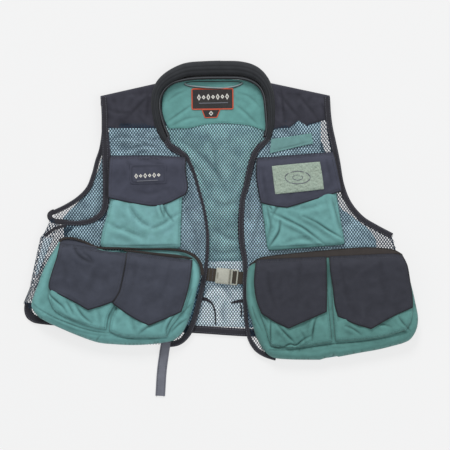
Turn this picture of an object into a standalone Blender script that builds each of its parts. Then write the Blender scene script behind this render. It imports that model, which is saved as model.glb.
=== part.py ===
"""Mesh fishing vest, laid on its back with both fronts resting over the back panel.

Row frame: +X across the vest towards the wearer's left front, +Y towards the
collar, +Z up through the thickness.  The origin is at the middle of the
bounding box, on the resting plane.  Plan shapes are drawn on a pattern grid of
square U; heights are in millimetres.
"""
import math

import bmesh
import bpy
from mathutils import Matrix, Vector

# ---------------------------------------------------------------- constants
U = 0.0019            # side of one pattern square, m
GX, GY = 221.0, 229.0  # pattern square at the origin
MM = 0.001

Z_CARGO = (0.0, 3.0)       # back cargo pocket, lying on the table
Z_BACK = (3.3, 4.5)        # back mesh panel
Z_LINING = (4.8, 5.8)      # teal lining of the neck
Z_LABEL = (6.1, 6.9)
Z_FRONT = (16.0, 17.2)     # front mesh panels, above the room for the body
Z_BINDING = (15.0, 18.0)   # bindings round the front panels
Z_CHEST = (18.3, 29.0)     # chest pockets
Z_MAIN = (18.3, 36.0)      # lower cargo pockets
Z_POUCH = (36.3, 45.5)     # front pouches on the lower pockets
WALL = 1.4                 # pocket wall, mm
FLAP_T = 1.5               # flap thickness, mm
BIND = 2.8                 # half width of a binding, squares
SEAM = 0.2                 # clearance beside a binding, squares

CHARCOAL = (0.047, 0.050, 0.067, 1)
TEAL = (0.15, 0.36, 0.36, 1)
NAVY = (0.030, 0.045, 0.065, 1)
EDGE = (0.030, 0.028, 0.030, 1)

# ---------------------------------------------------------------- scene
for ob in list(bpy.data.objects):
    bpy.data.objects.remove(ob, do_unlink=True)
parts = bpy.data.collections.new("fishing_vest")
cutters = bpy.data.collections.new("cutters")
bpy.context.scene.collection.children.link(parts)
bpy.context.scene.collection.children.link(cutters)


def material(name, rgba, rough=0.8):
    m = bpy.data.materials.new(name)
    m.use_nodes = True
    b = m.node_tree.nodes["Principled BSDF"]
    b.inputs["Base Color"].default_value = rgba
    b.inputs["Roughness"].default_value = rough
    m.diffuse_color = rgba
    return m


def P(x, y, z=0.0):
    """A point of the pattern grid at height z mm, in metres."""
    return Vector(((x - GX) * U, (GY - y) * U, z * MM))


def new_object(name, bm, rgba, rough=0.8, where=None):
    bmesh.ops.remove_doubles(bm, verts=bm.verts, dist=1e-6)
    bmesh.ops.recalc_face_normals(bm, faces=bm.faces)
    me = bpy.data.meshes.new(name)
    bm.to_mesh(me)
    bm.free()
    ob = bpy.data.objects.new(name, me)
    (where or parts).objects.link(ob)
    me.materials.append(material(name, rgba, rough))
    return ob


# ---------------------------------------------------------------- plan curves
def smooth(pts, n=3):
    """Catmull-Rom curve through the control points, n steps to a span."""
    out = []
    last = len(pts) - 1
    for i in range(last):
        p0, p1, p2, p3 = (pts[max(i - 1, 0)], pts[i], pts[i + 1], pts[min(i + 2, last)])
        for k in range(n):
            t = k / n
            out.append(tuple(
                0.5 * (2 * b + (c - a) * t + (2 * a - 5 * b + 4 * c - d) * t * t
                       + (3 * b - a - 3 * c + d) * t ** 3)
                for a, b, c, d in zip(p0, p1, p2, p3)))
    out.append(tuple(float(v) for v in pts[-1]))
    return out


def offset(pts, d):
    """The polyline moved sideways by d squares, towards (-dy, dx) of its travel."""
    out = []
    for i, p in enumerate(pts):
        a, b = pts[max(i - 1, 0)], pts[min(i + 1, len(pts) - 1)]
        dx, dy = b[0] - a[0], b[1] - a[1]
        length = math.hypot(dx, dy) or 1.0
        out.append((p[0] - dy / length * d, p[1] + dx / length * d))
    return out


# ---------------------------------------------------------------- builders
def slab(name, outline, z, rgba, rough=0.8, bevel=0.0):
    """A flat cut of cloth: the outline extruded from z[0] to z[1]."""
    bm = bmesh.new()
    f = bm.faces.new([bm.verts.new(P(x, y, z[0])) for x, y in outline])
    up = bmesh.ops.extrude_face_region(bm, geom=[f])
    bmesh.ops.translate(bm, verts=[v for v in up["geom"] if isinstance(v, bmesh.types.BMVert)],
                        vec=(0, 0, (z[1] - z[0]) * MM))
    bmesh.ops.triangulate(bm, faces=[g for g in bm.faces if len(g.verts) > 4])
    ob = new_object(name, bm, rgba, rough)
    if bevel:
        m = ob.modifiers.new("edge", "BEVEL")
        m.width, m.segments, m.limit_method, m.angle_limit = bevel * MM, 1, "ANGLE", math.radians(60)
    return ob


def band(name, centre, half, z, rgba=EDGE):
    """A binding: a strip of constant width along a curve."""
    return slab(name, offset(centre, half) + offset(centre, -half)[::-1], z, rgba, 0.7)


def roll(name, path, rgba, n=8, rough=0.75):
    """A padded roll: ellipses (half width in squares, half height in mm) along a path."""
    bm = bmesh.new()
    rings = []
    for i, (x, y, z, hw, hh) in enumerate(path):
        a, b = path[max(i - 1, 0)], path[min(i + 1, len(path) - 1)]
        t = P(b[0], b[1]) - P(a[0], a[1])
        side = Vector((-t.y, t.x, 0)).normalized()
        c = P(x, y, z)
        rings.append([bm.verts.new(c + side * (hw * U * math.cos(2 * math.pi * k / n))
                                   + Vector((0, 0, hh * MM * math.sin(2 * math.pi * k / n))))
                      for k in range(n)])
    for r0, r1 in zip(rings, rings[1:]):
        for k in range(n):
            bm.faces.new([r0[k], r0[(k + 1) % n], r1[(k + 1) % n], r1[k]])
    bm.faces.new(rings[0])
    bm.faces.new(rings[-1][::-1])
    return new_object(name, bm, rgba, rough)


def sheet(name, rows, thick, rgba, rough=0.8):
    """A bent sheet of cloth lofted through rows of points, thick mm through."""
    bm = bmesh.new()
    grid = [[bm.verts.new(p) for p in row] for row in rows]
    for r0, r1 in zip(grid, grid[1:]):
        for k in range(len(r0) - 1):
            bm.faces.new([r0[k], r0[k + 1], r1[k + 1], r1[k]])
    ob = new_object(name, bm, rgba, rough)
    m = ob.modifiers.new("cloth", "SOLIDIFY")
    m.thickness, m.offset, m.use_even_offset = thick * MM, 0.0, True
    return ob


def pouch(name, outline, mouth, z, rgba=TEAL, inset=3.0, rough=0.85):
    """A cloth pocket with its first `mouth` edges left open: walls WALL thick round a real hollow."""
    n = len(outline)
    cx = sum(p[0] for p in outline) / n
    cy = sum(p[1] for p in outline) / n
    tops = []
    for i, (x, y) in enumerate(outline):
        a, b = outline[i - 1], outline[(i + 1) % n]
        dx, dy = b[0] - a[0], b[1] - a[1]
        length = math.hypot(dx, dy) or 1.0
        sx, sy = -dy / length * inset, dx / length * inset
        if (sx * (cx - x) + sy * (cy - y)) < 0:
            sx, sy = -sx, -sy
        if i <= mouth:
            sx, sy = (inset * 0.7 if i == 0 else -inset * 0.7 if i == mouth else 0.0), 0.0
        tops.append((x + sx, y + sy))
    bm = bmesh.new()
    mid = z[0] + 0.62 * (z[1] - z[0])
    rings = [[bm.verts.new(P(x, y, z[0])) for x, y in outline],
             [bm.verts.new(P(x, y, mid)) for x, y in outline],
             [bm.verts.new(P(x, y, z[1])) for x, y in tops]]
    bm.faces.new(rings[0][::-1])
    bm.faces.new(rings[2])
    for r0, r1 in zip(rings, rings[1:]):
        for k in range(n):
            if k >= mouth:
                bm.faces.new([r0[k], r0[(k + 1) % n], r1[(k + 1) % n], r1[k]])
    bmesh.ops.triangulate(bm, faces=[g for g in bm.faces if len(g.verts) > 4])
    ob = new_object(name, bm, rgba, rough)
    # the mouth leaves the shell open, so its outside is checked against the middle
    me = ob.data
    c = P(cx, cy, (z[0] + z[1]) / 2)
    if sum((f.center - c).dot(f.normal) * f.area for f in me.polygons) < 0:
        me.flip_normals()
    m = ob.modifiers.new("wall", "SOLIDIFY")
    m.thickness, m.offset, m.use_even_offset = WALL * MM, -1.0, True
    return ob


def flap(name, h0, h1, outline, profile, rgba=CHARCOAL, cols=4):
    """A pocket flap hung on the line h0-h1.  profile gives its height (mm) by distance (squares)."""
    tx, ty = h1[0] - h0[0], h1[1] - h0[1]
    length = math.hypot(tx, ty)
    tx, ty = tx / length, ty / length
    nx, ny = -ty, tx
    loc = []
    for x, y in outline:
        r = (x - h0[0]) * nx + (y - h0[1]) * ny
        loc.append(((x - h0[0]) * tx + (y - h0[1]) * ty, r if r > 0.8 else 0.0))
    rmax = max(r for _, r in loc)

    def height(r):
        for (r0, z0), (r1, z1) in zip(profile, profile[1:]):
            if r <= r1:
                return z0 + (z1 - z0) * (r - r0) / (r1 - r0)
        return profile[-1][1]

    def span(r):
        ts = []
        for (t0, r0), (t1, r1) in zip(loc, loc[1:] + loc[:1]):
            if min(r0, r1) - 1e-9 <= r <= max(r0, r1) + 1e-9:
                if abs(r1 - r0) < 1e-9:
                    ts += [t0, t1]
                else:
                    ts.append(t0 + (t1 - t0) * (r - r0) / (r1 - r0))
        return min(ts), max(ts)

    levels = sorted({0.0} | {round(r, 3) for r, _ in profile if 0 < r < rmax}
                    | {round(r, 3) for _, r in loc if 1.0 < r < rmax - 0.5} | {rmax - 0.4})
    keep = [levels[0]]
    for r in levels[1:]:
        if r - keep[-1] > 0.8:
            keep.append(r)
    rows = []
    for r in keep:
        t0, t1 = span(r)
        rows.append([P(h0[0] + t * tx + r * nx, h0[1] + t * ty + r * ny, height(r))
                     for t in (t0 + (t1 - t0) * k / cols for k in range(cols + 1))])
    return sheet(name, rows, FLAP_T, rgba)


# ---------------------------------------------------------------- seam lines
FRONT_L = smooth([(167, 142), (175, 149), (186, 157), (194, 172), (199, 189), (205, 212), (208, 236),
                  (207, 262), (203.5, 283), (199, 301), (194, 322), (187, 336), (176, 343), (163, 345)], 2)
FRONT_R = smooth([(267, 143), (257, 152), (251, 166), (246, 184), (241.5, 206), (240.5, 226), (242, 244),
                  (245, 262), (244.5, 281), (244.5, 301), (246, 322), (249, 338), (255, 349), (265, 355),
                  (275, 358)], 2)
ARM_L = smooth([(104.5, 131), (105, 155), (106, 178), (106, 197), (101, 211), (90, 219.5), (77, 222),
                (66, 222)], 2)
ARM_R = smooth([(332, 131), (336, 142), (339, 161), (343.5, 184), (353, 203), (369, 218), (388, 230)], 2)
BACK_ARM_L = smooth([(101.5, 107), (101.5, 130), (100, 150), (96, 168), (87, 187), (71, 201), (52, 212)], 2)
BACK_ARM_R = smooth([(328, 107), (328, 130), (329, 155), (335, 180), (347, 200), (365, 215), (386, 229)], 2)
HEM = smooth([(28, 305), (27.6, 313), (33, 319.5), (46, 322), (100, 325), (192, 329.5), (247, 333),
              (320, 335), (385, 333), (404, 328)], 2)
AXIS_L = ((99.0, 129.0), (27.0, 303.0))     # the line the left front lifts on
AXIS_R = ((338.0, 129.0), (420.0, 290.0))


def on_axis(line, y, d):
    (x0, y0), (x1, y1) = line
    return (x0 + (x1 - x0) * (y - y0) / (y1 - y0) + d, y)


# ---------------------------------------------------------------- back
slab("back_cargo_pocket", [(122, 132), (126, 128), (306, 128), (310, 132), (313, 256), (309, 261),
                           (123, 261), (119, 256)], Z_CARGO, TEAL)
slab("back_yoke", [(104, 100), (150, 88), (165, 83), (262, 83), (278, 88), (326, 100), (325, 127.4),
                   (105, 127.4)], (0.8, 3.0), CHARCOAL)
inner = offset(BACK_ARM_L, -BIND - SEAM)
inner_r = offset(BACK_ARM_R, BIND + SEAM)
slab("back_mesh", [(106, 100), (152, 87), (166, 82.5), (201, 81), (238, 81), (262, 82.5), (274, 87),
                   (324, 100)] + inner_r + [(390, 236), (393, 250), (401, 270), (406, 295), (405, 322)]
     + offset(HEM, -4.0)[::-1][1:-2] + [(34, 300), (37, 280), (42, 258), (47, 240), (54, 226)]
     + inner[::-1], Z_BACK, NAVY)
band("back_hem_binding", HEM, 3.8, (0.0, 6.0))
band("armhole_binding_back_left", BACK_ARM_L, BIND, (4.8, 8.4))
band("armhole_binding_back_right", BACK_ARM_R, BIND, (4.8, 8.4))
slab("neck_lining", [(168.5, 127.5), (166, 118), (165, 108), (166, 98), (170, 90), (178, 84), (190, 81.6),
                     (222, 81), (240, 81.6), (252, 84), (259, 90), (262, 98), (262.5, 110), (262.5, 122),
                     (264, 129), (255, 127), (244, 125), (221, 123), (201, 125), (185, 127.5)],
     Z_LINING, TEAL)
slab("neck_label", [(193, 89), (232.5, 88.3), (233, 107.5), (192, 108.6)], Z_LABEL, (0.02, 0.015, 0.015, 1), 0.6)
slab("size_tag", [(202.5, 109.2), (219.5, 108.8), (216.5, 117), (205, 117.4)], Z_LABEL, (0.02, 0.015, 0.015, 1), 0.6)
roll("hang_loop", [(x, y, 8.0, 0.55, 1.05) for x, y in smooth(
    [(186, 82.6), (190, 84.8), (205, 85.7), (222, 86.1), (236, 85), (241, 82.6)], 2)],
    (0.45, 0.5, 0.5, 1), 6)

# ---------------------------------------------------------------- collar
OUTER = [(163.5, 138, 15.5, 3.2, 8.5), (159.5, 125, 16.5, 3.6, 9.8), (156.8, 110, 17, 3.8, 10.3),
         (157.5, 96, 17.3, 4.5, 10.8), (162, 84, 17.6, 5.5, 11), (171, 75, 17.6, 6.3, 11),
         (186, 69.5, 15.5, 6.8, 11.5), (204, 68, 14.5, 7.1, 11.5), (222, 68, 14.5, 7.1, 11.5),
         (240, 68.5, 14.5, 7.1, 11.5), (254, 71.5, 16, 6.7, 11.5), (263.5, 79, 17.6, 6, 11),
         (269, 91, 17.5, 5, 11), (270.3, 106, 17.2, 4.2, 10.5), (269.5, 122, 16.5, 3.8, 9.8),
         (266.5, 138, 15.5, 3.2, 8.5)]
INNER = [(167.3, 134, 12.0, 1.5, 5.4), (164.9, 124, 13, 1.5, 6.4), (162.8, 110, 13.3, 1.5, 6.8),
         (164.2, 97.5, 13.3, 1.5, 6.8), (169.2, 88.2, 13.3, 1.5, 6.8), (177, 82.6, 13.3, 1.5, 6.8),
         (189, 79.4, 13.3, 1.5, 6.8), (204, 78.3, 13.3, 1.5, 6.8), (222, 78.2, 13.3, 1.5, 6.8),
         (240, 78.6, 13.3, 1.5, 6.8), (250.5, 81.2, 13.3, 1.5, 6.8), (257.8, 87, 13.3, 1.5, 6.8),
         (261.6, 95.5, 13.3, 1.5, 6.8), (263.8, 107, 13.3, 1.5, 6.8), (263.4, 121, 13, 1.5, 6.4),
         (260.6, 133, 12, 1.5, 5.4)]
roll("collar_roll", OUTER, (0.035, 0.035, 0.038, 1))
roll("collar_piping", INNER, (0.030, 0.030, 0.033, 1), 6)


# ---------------------------------------------------------------- shoulders
def yoke(name, outer, inner_pts, cols=5):
    """A shoulder yoke folded over the shoulder line, from the back round to the seam above the mesh."""
    def row(t, dy, z):
        a = (outer[0][0] + (outer[1][0] - outer[0][0]) * t, outer[0][1] + (outer[1][1] - outer[0][1]) * t + dy)
        k = t * (len(inner_pts) - 1)
        i = min(int(k), len(inner_pts) - 2)
        b = tuple(inner_pts[i][j] + (inner_pts[i + 1][j] - inner_pts[i][j]) * (k - i) for j in (0, 1))
        b = (b[0], b[1] + dy)
        return [P(a[0] + (b[0] - a[0]) * c / cols, a[1] + (b[1] - a[1]) * c / cols, z) for c in range(cols + 1)]
    rows = [row(0, 9.0, 6.6), row(0, 2.4, 6.6), row(0, 0.7, 8.6), row(0, 0.2, 11.7), row(0, 0.7, 14.8),
            row(0, 2.4, 16.8), row(0.33, 0, 16.8), row(0.66, 0, 16.8), row(1.0, 0, 16.8)]
    return sheet(name, rows, 1.3, CHARCOAL)


yoke("shoulder_yoke_left", [(101, 96), (104.5, 128)],
     [(151.3, 84.5), (151.5, 99), (152.3, 114), (155.5, 128)])
yoke("shoulder_yoke_right", [(329.4, 96), (331, 127)],
     [(276, 84.5), (276.5, 99), (275.6, 114), (274.2, 127.6)])

# ---------------------------------------------------------------- side panels
rows = []
for y, xo in ((226, 51), (238, 41.5), (254, 37.5), (268, 34), (280, 31)):
    xi = on_axis(AXIS_L, y, -0.8)[0]
    rows.append([P(xi, y, 16.6), P((xi + xo) / 2, y, 16.6), P(xo + 1.4, y, 16.2), P(xo, y, 13.5),
                 P(xo, y, 9.0), P(xo + 1.4, y, 6.2)])
sheet("side_panel_left", rows, 1.2, NAVY)
rows = []
for x, y in ((391.5, 237), (396, 252), (403.5, 267), (409.5, 287), (412, 308)):
    rows.append([P(x - 1.4, y, 14.6), P(x, y, 12.6), P(x, y, 8.6), P(x - 1.4, y, 6.2)])
sheet("side_panel_right", rows, 1.2, NAVY)

# ---------------------------------------------------------------- left front
slab("front_mesh_left", [(108.5, 129.8), (150, 129.8), (157, 140), (163, 144.5)]
     + offset(FRONT_L, BIND + SEAM)[2:] + [(138, 343), (109, 342), (80, 334), (52, 322), (36, 314),
                                           on_axis(AXIS_L, 304, 1.2), on_axis(AXIS_L, 264, 1.0),
                                           on_axis(AXIS_L, 228, 1.0)]
     + offset(ARM_L, -BIND - SEAM)[::-1][:-1], Z_FRONT, NAVY)
band("front_binding_left", FRONT_L, BIND, Z_BINDING)
band("armhole_binding_front_left", ARM_L, BIND, Z_BINDING)
pouch("chest_pocket_left", [(112, 164), (183, 164), (182, 201), (181, 245), (178, 248), (103, 248),
                            (100, 242), (110, 201)], 1, Z_CHEST)
CHEST_PROFILE = [(0, 19.3), (7, 30.3), (12, 30.5), (60, 30.5)]
flap("chest_flap_left", (110, 156), (185, 156),
     [(111, 156), (184, 156), (186, 189), (184, 194), (158, 205), (109, 197)], CHEST_PROFILE)
slab("chest_label", [(130, 165), (165.5, 164), (166, 183), (131, 184)], (31.6, 32.4), (0.06, 0.065, 0.08, 1))
pouch("lower_pocket_left", [(59, 243), (98, 253), (112, 254), (150, 251), (180, 252), (192, 256), (201, 264),
                            (203, 275), (198, 287), (192, 313), (184, 330), (172, 341), (138, 345), (109, 344),
                            (80, 336), (52, 324), (36, 316), (30.5, 304), (38, 284), (47, 264)], 5, Z_MAIN)
pouch("pouch_left_outer", [(60.5, 253.5), (123.5, 261.5), (119, 290), (114, 328), (110, 336), (80, 330),
                           (54, 319), (41, 311), (37, 303), (43, 284), (51, 264)], 1, Z_POUCH, inset=2.0)
pouch("pouch_left_inner", [(128, 262.1), (190, 270), (192, 282), (188, 300), (185, 320), (178, 331),
                           (166, 336.5), (138, 339), (118, 338), (119.5, 325), (123.5, 290)], 1, Z_POUCH, inset=2.0)
FLAP_PROFILE = [(0, 37.4), (8, 46.7), (14, 46.95), (90, 46.95)]
HL0, HL1 = (59, 243), (193, 260)
flap("flap_left_outer", HL0, HL1, [(60, 243.2), (126.5, 251.6), (119.8, 290), (113, 300), (90, 309),
                                   (52, 290), (51, 284)], FLAP_PROFILE)
flap("flap_left_inner", HL0, HL1, [(129, 252), (192, 260), (188, 300), (184, 313), (175, 315), (149, 324),
                                   (117, 304), (122.3, 291)], FLAP_PROFILE)
rows = []
for x, y, z in ((166, 336, 13.6), (165.6, 346, 12.8), (164.6, 353, 7.5), (163.2, 360, 2.6), (161.6, 370, 1.7),
                (160.6, 384, 1.7), (160, 396.6, 1.7)):
    rows.append([P(x - 4.8, y, z), P(x + 4.8, y, z)])
sheet("tail_strap", rows, 1.5, (0.16, 0.17, 0.21, 1), 0.6)

# ---------------------------------------------------------------- right front
slab("front_mesh_right", [(274.5, 141), (275.5, 128.9), (328, 128.6)] + offset(ARM_R, BIND + SEAM)
     + [on_axis(AXIS_R, 236, -2.0), on_axis(AXIS_R, 262, -1.5), on_axis(AXIS_R, 286, -1.5), (416, 318),
        (408, 336), (398, 341), (358, 350), (320, 357), (279, 356)]
     + offset(FRONT_R, -BIND - SEAM)[::-1][:-1], Z_FRONT, NAVY)
band("front_binding_right", FRONT_R, BIND, Z_BINDING)
band("armhole_binding_front_right", ARM_R, BIND, Z_BINDING)
pouch("chest_pocket_right", [(260, 166.2), (333, 160.4), (336.5, 194), (344, 238), (343, 245), (271, 250),
                             (267, 247), (262, 202)], 1, Z_CHEST)
flap("chest_flap_right", (256, 158.1), (334, 151.9),
     [(257, 158), (333, 152), (341, 189), (340, 193), (286, 206), (263, 201), (258, 186), (255, 178)],
     CHEST_PROFILE)
slab("fly_patch", [(272, 167), (320, 163), (323, 189), (275, 194)], (31.6, 34.0), (0.28, 0.37, 0.31, 1), 1.0)
slab("utility_tab", [(273, 138.8), (312, 133.5), (313, 143), (273, 151)], (18.3, 19.6), TEAL)
pouch("lower_pocket_right", [(402, 255), (367, 250), (330, 253.5), (273, 257.5), (253, 264), (248, 270),
                             (246, 287), (247, 310), (253, 330), (261, 347), (271, 358), (319, 360),
                             (359, 353), (399, 344), (410, 339), (418, 321), (418, 311), (413, 287),
                             (408, 270)], 4, Z_MAIN)
pouch("pouch_right_inner", [(325, 266.4), (258, 269.5), (254, 285), (255, 305), (262, 330), (272, 346),
                            (300, 345), (328, 341), (326, 300)], 1, Z_POUCH, inset=2.0)
pouch("pouch_right_outer", [(399, 263.1), (331, 266.2), (332, 300), (334, 342), (370, 340), (404, 334),
                            (412, 322), (413, 308), (408, 285)], 1, Z_POUCH, inset=2.0)
HR0, HR1 = (256, 259.5), (401, 253)
flap("flap_right_inner", HR0, HR1, [(257, 259.5), (325, 256.4), (324.5, 310), (287, 327), (268, 319),
                                    (260, 304), (255, 287)], FLAP_PROFILE)
flap("flap_right_outer", HR0, HR1, [(329.5, 256.2), (400, 253.1), (405, 264), (412, 304), (410, 308),
                                    (373, 327), (337, 316), (333, 293)], FLAP_PROFILE)

# ---------------------------------------------------------------- belt and buckle
BELT = Matrix.Translation(P(230.3, 277.0)) @ Matrix.Rotation(math.radians(-6.3), 4, "Z")
OLIVE = (0.33, 0.33, 0.27, 1)
WEB = (0.045, 0.036, 0.027, 1)


def block(name, lo, hi, rgba, rough=0.5, where=None):
    """A box between two corners of the belt's own frame, in mm."""
    bm = bmesh.new()
    bmesh.ops.create_cube(bm, size=1.0)
    size = [(b - a) * MM for a, b in zip(lo, hi)]
    mid = Vector([(a + b) / 2 * MM for a, b in zip(lo, hi)])
    bmesh.ops.scale(bm, vec=size, verts=bm.verts)
    bmesh.ops.translate(bm, vec=mid, verts=bm.verts)
    bmesh.ops.transform(bm, matrix=BELT, verts=bm.verts)
    return new_object(name, bm, rgba, rough, where)


def boolean(ob, tool, operation="DIFFERENCE"):
    tool.hide_render = True
    tool.display_type = "WIRE"
    m = ob.modifiers.new(tool.name, "BOOLEAN")
    m.operation, m.solver, m.object = operation, "EXACT", tool


def rim(ob, width, segments=2):
    m = ob.modifiers.new("rim", "BEVEL")
    m.width, m.segments, m.limit_method, m.angle_limit = width * MM, segments, "ANGLE", math.radians(50)


socket = block("buckle_socket", (-28, -15, 6.6), (0, 15, 14.0), OLIVE)
rim(socket, 1.2)
boolean(socket, block("cut_socket_hollow", (-24, -12.6, 8.1), (3, 12.6, 12.5), OLIVE, where=cutters))
boolean(socket, block("cut_socket_windows", (-17, -18, 8.7), (3, 18, 11.9), OLIVE, where=cutters))
plug = block("buckle_plug", (0.4, -15, 7.0), (14.6, 15, 13.6), OLIVE)
rim(plug, 1.0)
boolean(plug, block("cut_plug_slot_a", (3.8, -12.8, 5), (6.6, 12.8, 16), OLIVE, where=cutters))
boolean(plug, block("cut_plug_slot_b", (9.0, -12.8, 5), (11.8, 12.8, 16), OLIVE, where=cutters))
boolean(plug, block("add_plug_tongue", (-19, -3.8, 8.8), (2, 3.8, 11.8), OLIVE, where=cutters), "UNION")
for side, name in ((1, "release_arm_upper"), (-1, "release_arm_lower")):
    bm = bmesh.new()
    prof = [(0.0, 6.6), (0.0, 9.4), (-6, 10.2), (-7, 14.4), (-13, 13.4), (-18, 10.4), (-18, 7.8), (-6, 7.2)]
    f = bm.faces.new([bm.verts.new((x * MM, side * y * MM, 9.0 * MM)) for x, y in prof])
    up = bmesh.ops.extrude_face_region(bm, geom=[f])
    bmesh.ops.translate(bm, verts=[v for v in up["geom"] if isinstance(v, bmesh.types.BMVert)],
                        vec=(0, 0, 2.6 * MM))
    bmesh.ops.triangulate(bm, faces=[g for g in bm.faces if len(g.verts) > 4])
    bmesh.ops.transform(bm, matrix=BELT, verts=bm.verts)
    new_object(name, bm, OLIVE, 0.5)
block("belt_webbing_left", (-322, -12.5, 9.4), (-28.4, 12.5, 11.0), WEB, 0.7)
block("belt_webbing_right", (15.0, -12.5, 9.4), (188, 12.5, 11.0), WEB, 0.7)
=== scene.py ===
"""Mesh fishing vest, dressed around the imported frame.

Plan shapes are drawn on the same pattern grid as the CAD (one square is 1.9 mm,
x to the wearer's left front, y down towards the hem); heights are in mm.
"""
import math

import bpy
import numpy as np
from mathutils import Matrix, Vector, geometry

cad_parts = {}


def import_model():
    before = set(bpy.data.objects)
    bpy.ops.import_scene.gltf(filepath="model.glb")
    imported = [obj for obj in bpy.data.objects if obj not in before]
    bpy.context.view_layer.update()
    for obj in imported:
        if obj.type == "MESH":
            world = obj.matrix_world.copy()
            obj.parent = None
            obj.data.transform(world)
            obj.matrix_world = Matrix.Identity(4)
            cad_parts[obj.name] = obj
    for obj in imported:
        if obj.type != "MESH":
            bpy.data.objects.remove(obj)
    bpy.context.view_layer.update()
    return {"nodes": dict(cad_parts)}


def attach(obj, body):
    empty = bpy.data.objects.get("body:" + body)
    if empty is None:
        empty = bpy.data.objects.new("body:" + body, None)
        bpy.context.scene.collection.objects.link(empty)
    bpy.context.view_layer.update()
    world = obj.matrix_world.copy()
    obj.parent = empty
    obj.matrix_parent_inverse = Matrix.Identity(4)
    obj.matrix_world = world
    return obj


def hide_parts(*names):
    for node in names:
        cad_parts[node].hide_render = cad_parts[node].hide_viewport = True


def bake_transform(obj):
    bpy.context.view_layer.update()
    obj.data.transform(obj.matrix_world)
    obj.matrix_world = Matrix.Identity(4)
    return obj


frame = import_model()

U = 0.0019
GX, GY = 221.0, 229.0
PI = math.pi


def X(x):
    return (x - GX) * U


def Y(y):
    return (GY - y) * U


def world(P, z):
    """Pattern points (N, 2) and heights in mm to metres."""
    P = np.asarray(P, float)
    return np.column_stack([(P[:, 0] - GX) * U, (GY - P[:, 1]) * U, np.broadcast_to(z, len(P)) * 0.001])


# ------------------------------------------------------------------ curves
def cr(pts, step=1.6, closed=False):
    """A smooth curve through the points, at even steps."""
    P = np.asarray(pts, float)
    n = len(P)
    idx = range(n if closed else n - 1)
    out = []
    for i in idx:
        if closed:
            p0, p1, p2, p3 = P[(i - 1) % n], P[i], P[(i + 1) % n], P[(i + 2) % n]
        else:
            p0, p1, p2, p3 = P[max(i - 1, 0)], P[i], P[min(i + 1, n - 1)], P[min(i + 2, n - 1)]
        t = np.linspace(0, 1, 13)[:-1, None]
        out.append(0.5 * (2 * p1 + (p2 - p0) * t + (2 * p0 - 5 * p1 + 4 * p2 - p3) * t * t
                          + (3 * p1 - p0 - 3 * p2 + p3) * t ** 3))
    Q = np.vstack(out + [P[:1] if closed else P[-1:]])
    return resample(Q, step)


def resample(Q, step):
    Q = np.asarray(Q, float)
    seg = np.linalg.norm(np.diff(Q[:, :2], axis=0), axis=1)
    s = np.concatenate([[0], np.cumsum(seg)])
    n = max(2, int(round(s[-1] / step)) + 1)
    t = np.linspace(0, s[-1], n)
    return np.column_stack([np.interp(t, s, Q[:, k]) for k in range(Q.shape[1])])


def outline(*runs, step=1.6):
    """A closed outline of smooth runs that meet in corners; a run of two points is straight."""
    out = []
    for i, r in enumerate(runs):
        nxt = runs[(i + 1) % len(runs)][0]
        r = [tuple(p) for p in r]
        if r[-1] != tuple(nxt):
            c = cr(r, step)
            out.append(c)
            out.append(resample(np.array([r[-1], nxt], float), step)[1:-1])
        else:
            out.append(cr(r, step)[:-1])
    return np.vstack([o for o in out if len(o)])


def offset(Q, d):
    """Moved sideways by d, towards (-dy, dx) of its travel."""
    Q = np.asarray(Q, float)
    g = np.gradient(Q, axis=0)
    g = g / np.maximum(np.linalg.norm(g, axis=1), 1e-9)[:, None]
    return Q + np.column_stack([-g[:, 1], g[:, 0]]) * d


def near(P, line):
    """Distance, place along (0 to 1) and side (+1 towards (-dy, dx)) of each point to a polyline."""
    line = np.asarray(line, float)
    seg = np.diff(line, axis=0)
    L = np.linalg.norm(seg, axis=1)
    s0 = np.concatenate([[0], np.cumsum(L)])
    best = np.full(len(P), 1e18)
    s = np.zeros(len(P))
    side = np.ones(len(P))
    for k in range(len(seg)):
        if L[k] < 1e-9:
            continue
        d = P - line[k]
        t = np.clip((d @ seg[k]) / (L[k] ** 2), 0, 1)
        r = d - t[:, None] * seg[k]
        q = (r * r).sum(1)
        m = q < best
        best[m] = q[m]
        s[m] = (s0[k] + t[m] * L[k]) / s0[-1]
        cross = seg[k][0] * d[:, 1] - seg[k][1] * d[:, 0]
        side[m] = np.where(cross[m] >= 0, 1.0, -1.0)
    return np.sqrt(best), s, side


def inside(P, poly):
    x, y = P[:, 0], P[:, 1]
    res = np.zeros(len(P), bool)
    n = len(poly)
    for i in range(n):
        x0, y0 = poly[i - 1]
        x1, y1 = poly[i]
        if abs(y1 - y0) < 1e-12:
            continue
        c = ((y0 > y) != (y1 > y)) & (x < (x1 - x0) * (y - y0) / (y1 - y0) + x0)
        res ^= c
    return res


def smooth(a, b, v):
    t = np.clip((v - a) / (b - a), 0, 1)
    return t * t * (3 - 2 * t)


def waves(P, scale, seed, n=7):
    """Soft undulation between about -1 and 1, the same each run."""
    r = np.random.default_rng(seed)
    x, y = P[:, 0] / scale, P[:, 1] / scale
    out = np.zeros(len(P))
    for _ in range(n):
        a, f, p, q = r.uniform(0, 2 * PI), r.uniform(0.5, 1.7), r.uniform(0, 2 * PI), r.uniform(0, 2 * PI)
        u = x * math.cos(a) + y * math.sin(a)
        v = -x * math.sin(a) + y * math.cos(a)
        out += np.sin(2 * PI * f * u * 0.5 + p + 1.4 * np.sin(2 * PI * f * 0.27 * v + q))
    return out * 0.75 / math.sqrt(n)


def crumple(P, amp, seed, scale=1.0):
    """Cloth that has been worn and laid down: broad swells, crisp ridges and small puckers, in mm."""
    a = waves(P, 34 * scale, seed)
    b = 0.5 - np.abs(waves(P, 24 * scale, seed + 1))
    b2 = 0.5 - np.abs(waves(P, 13 * scale, seed + 2))
    c = waves(P, 7 * scale, seed + 3)
    return amp * (0.55 * a + 0.95 * b + 0.42 * b2 + 0.10 * c)


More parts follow.
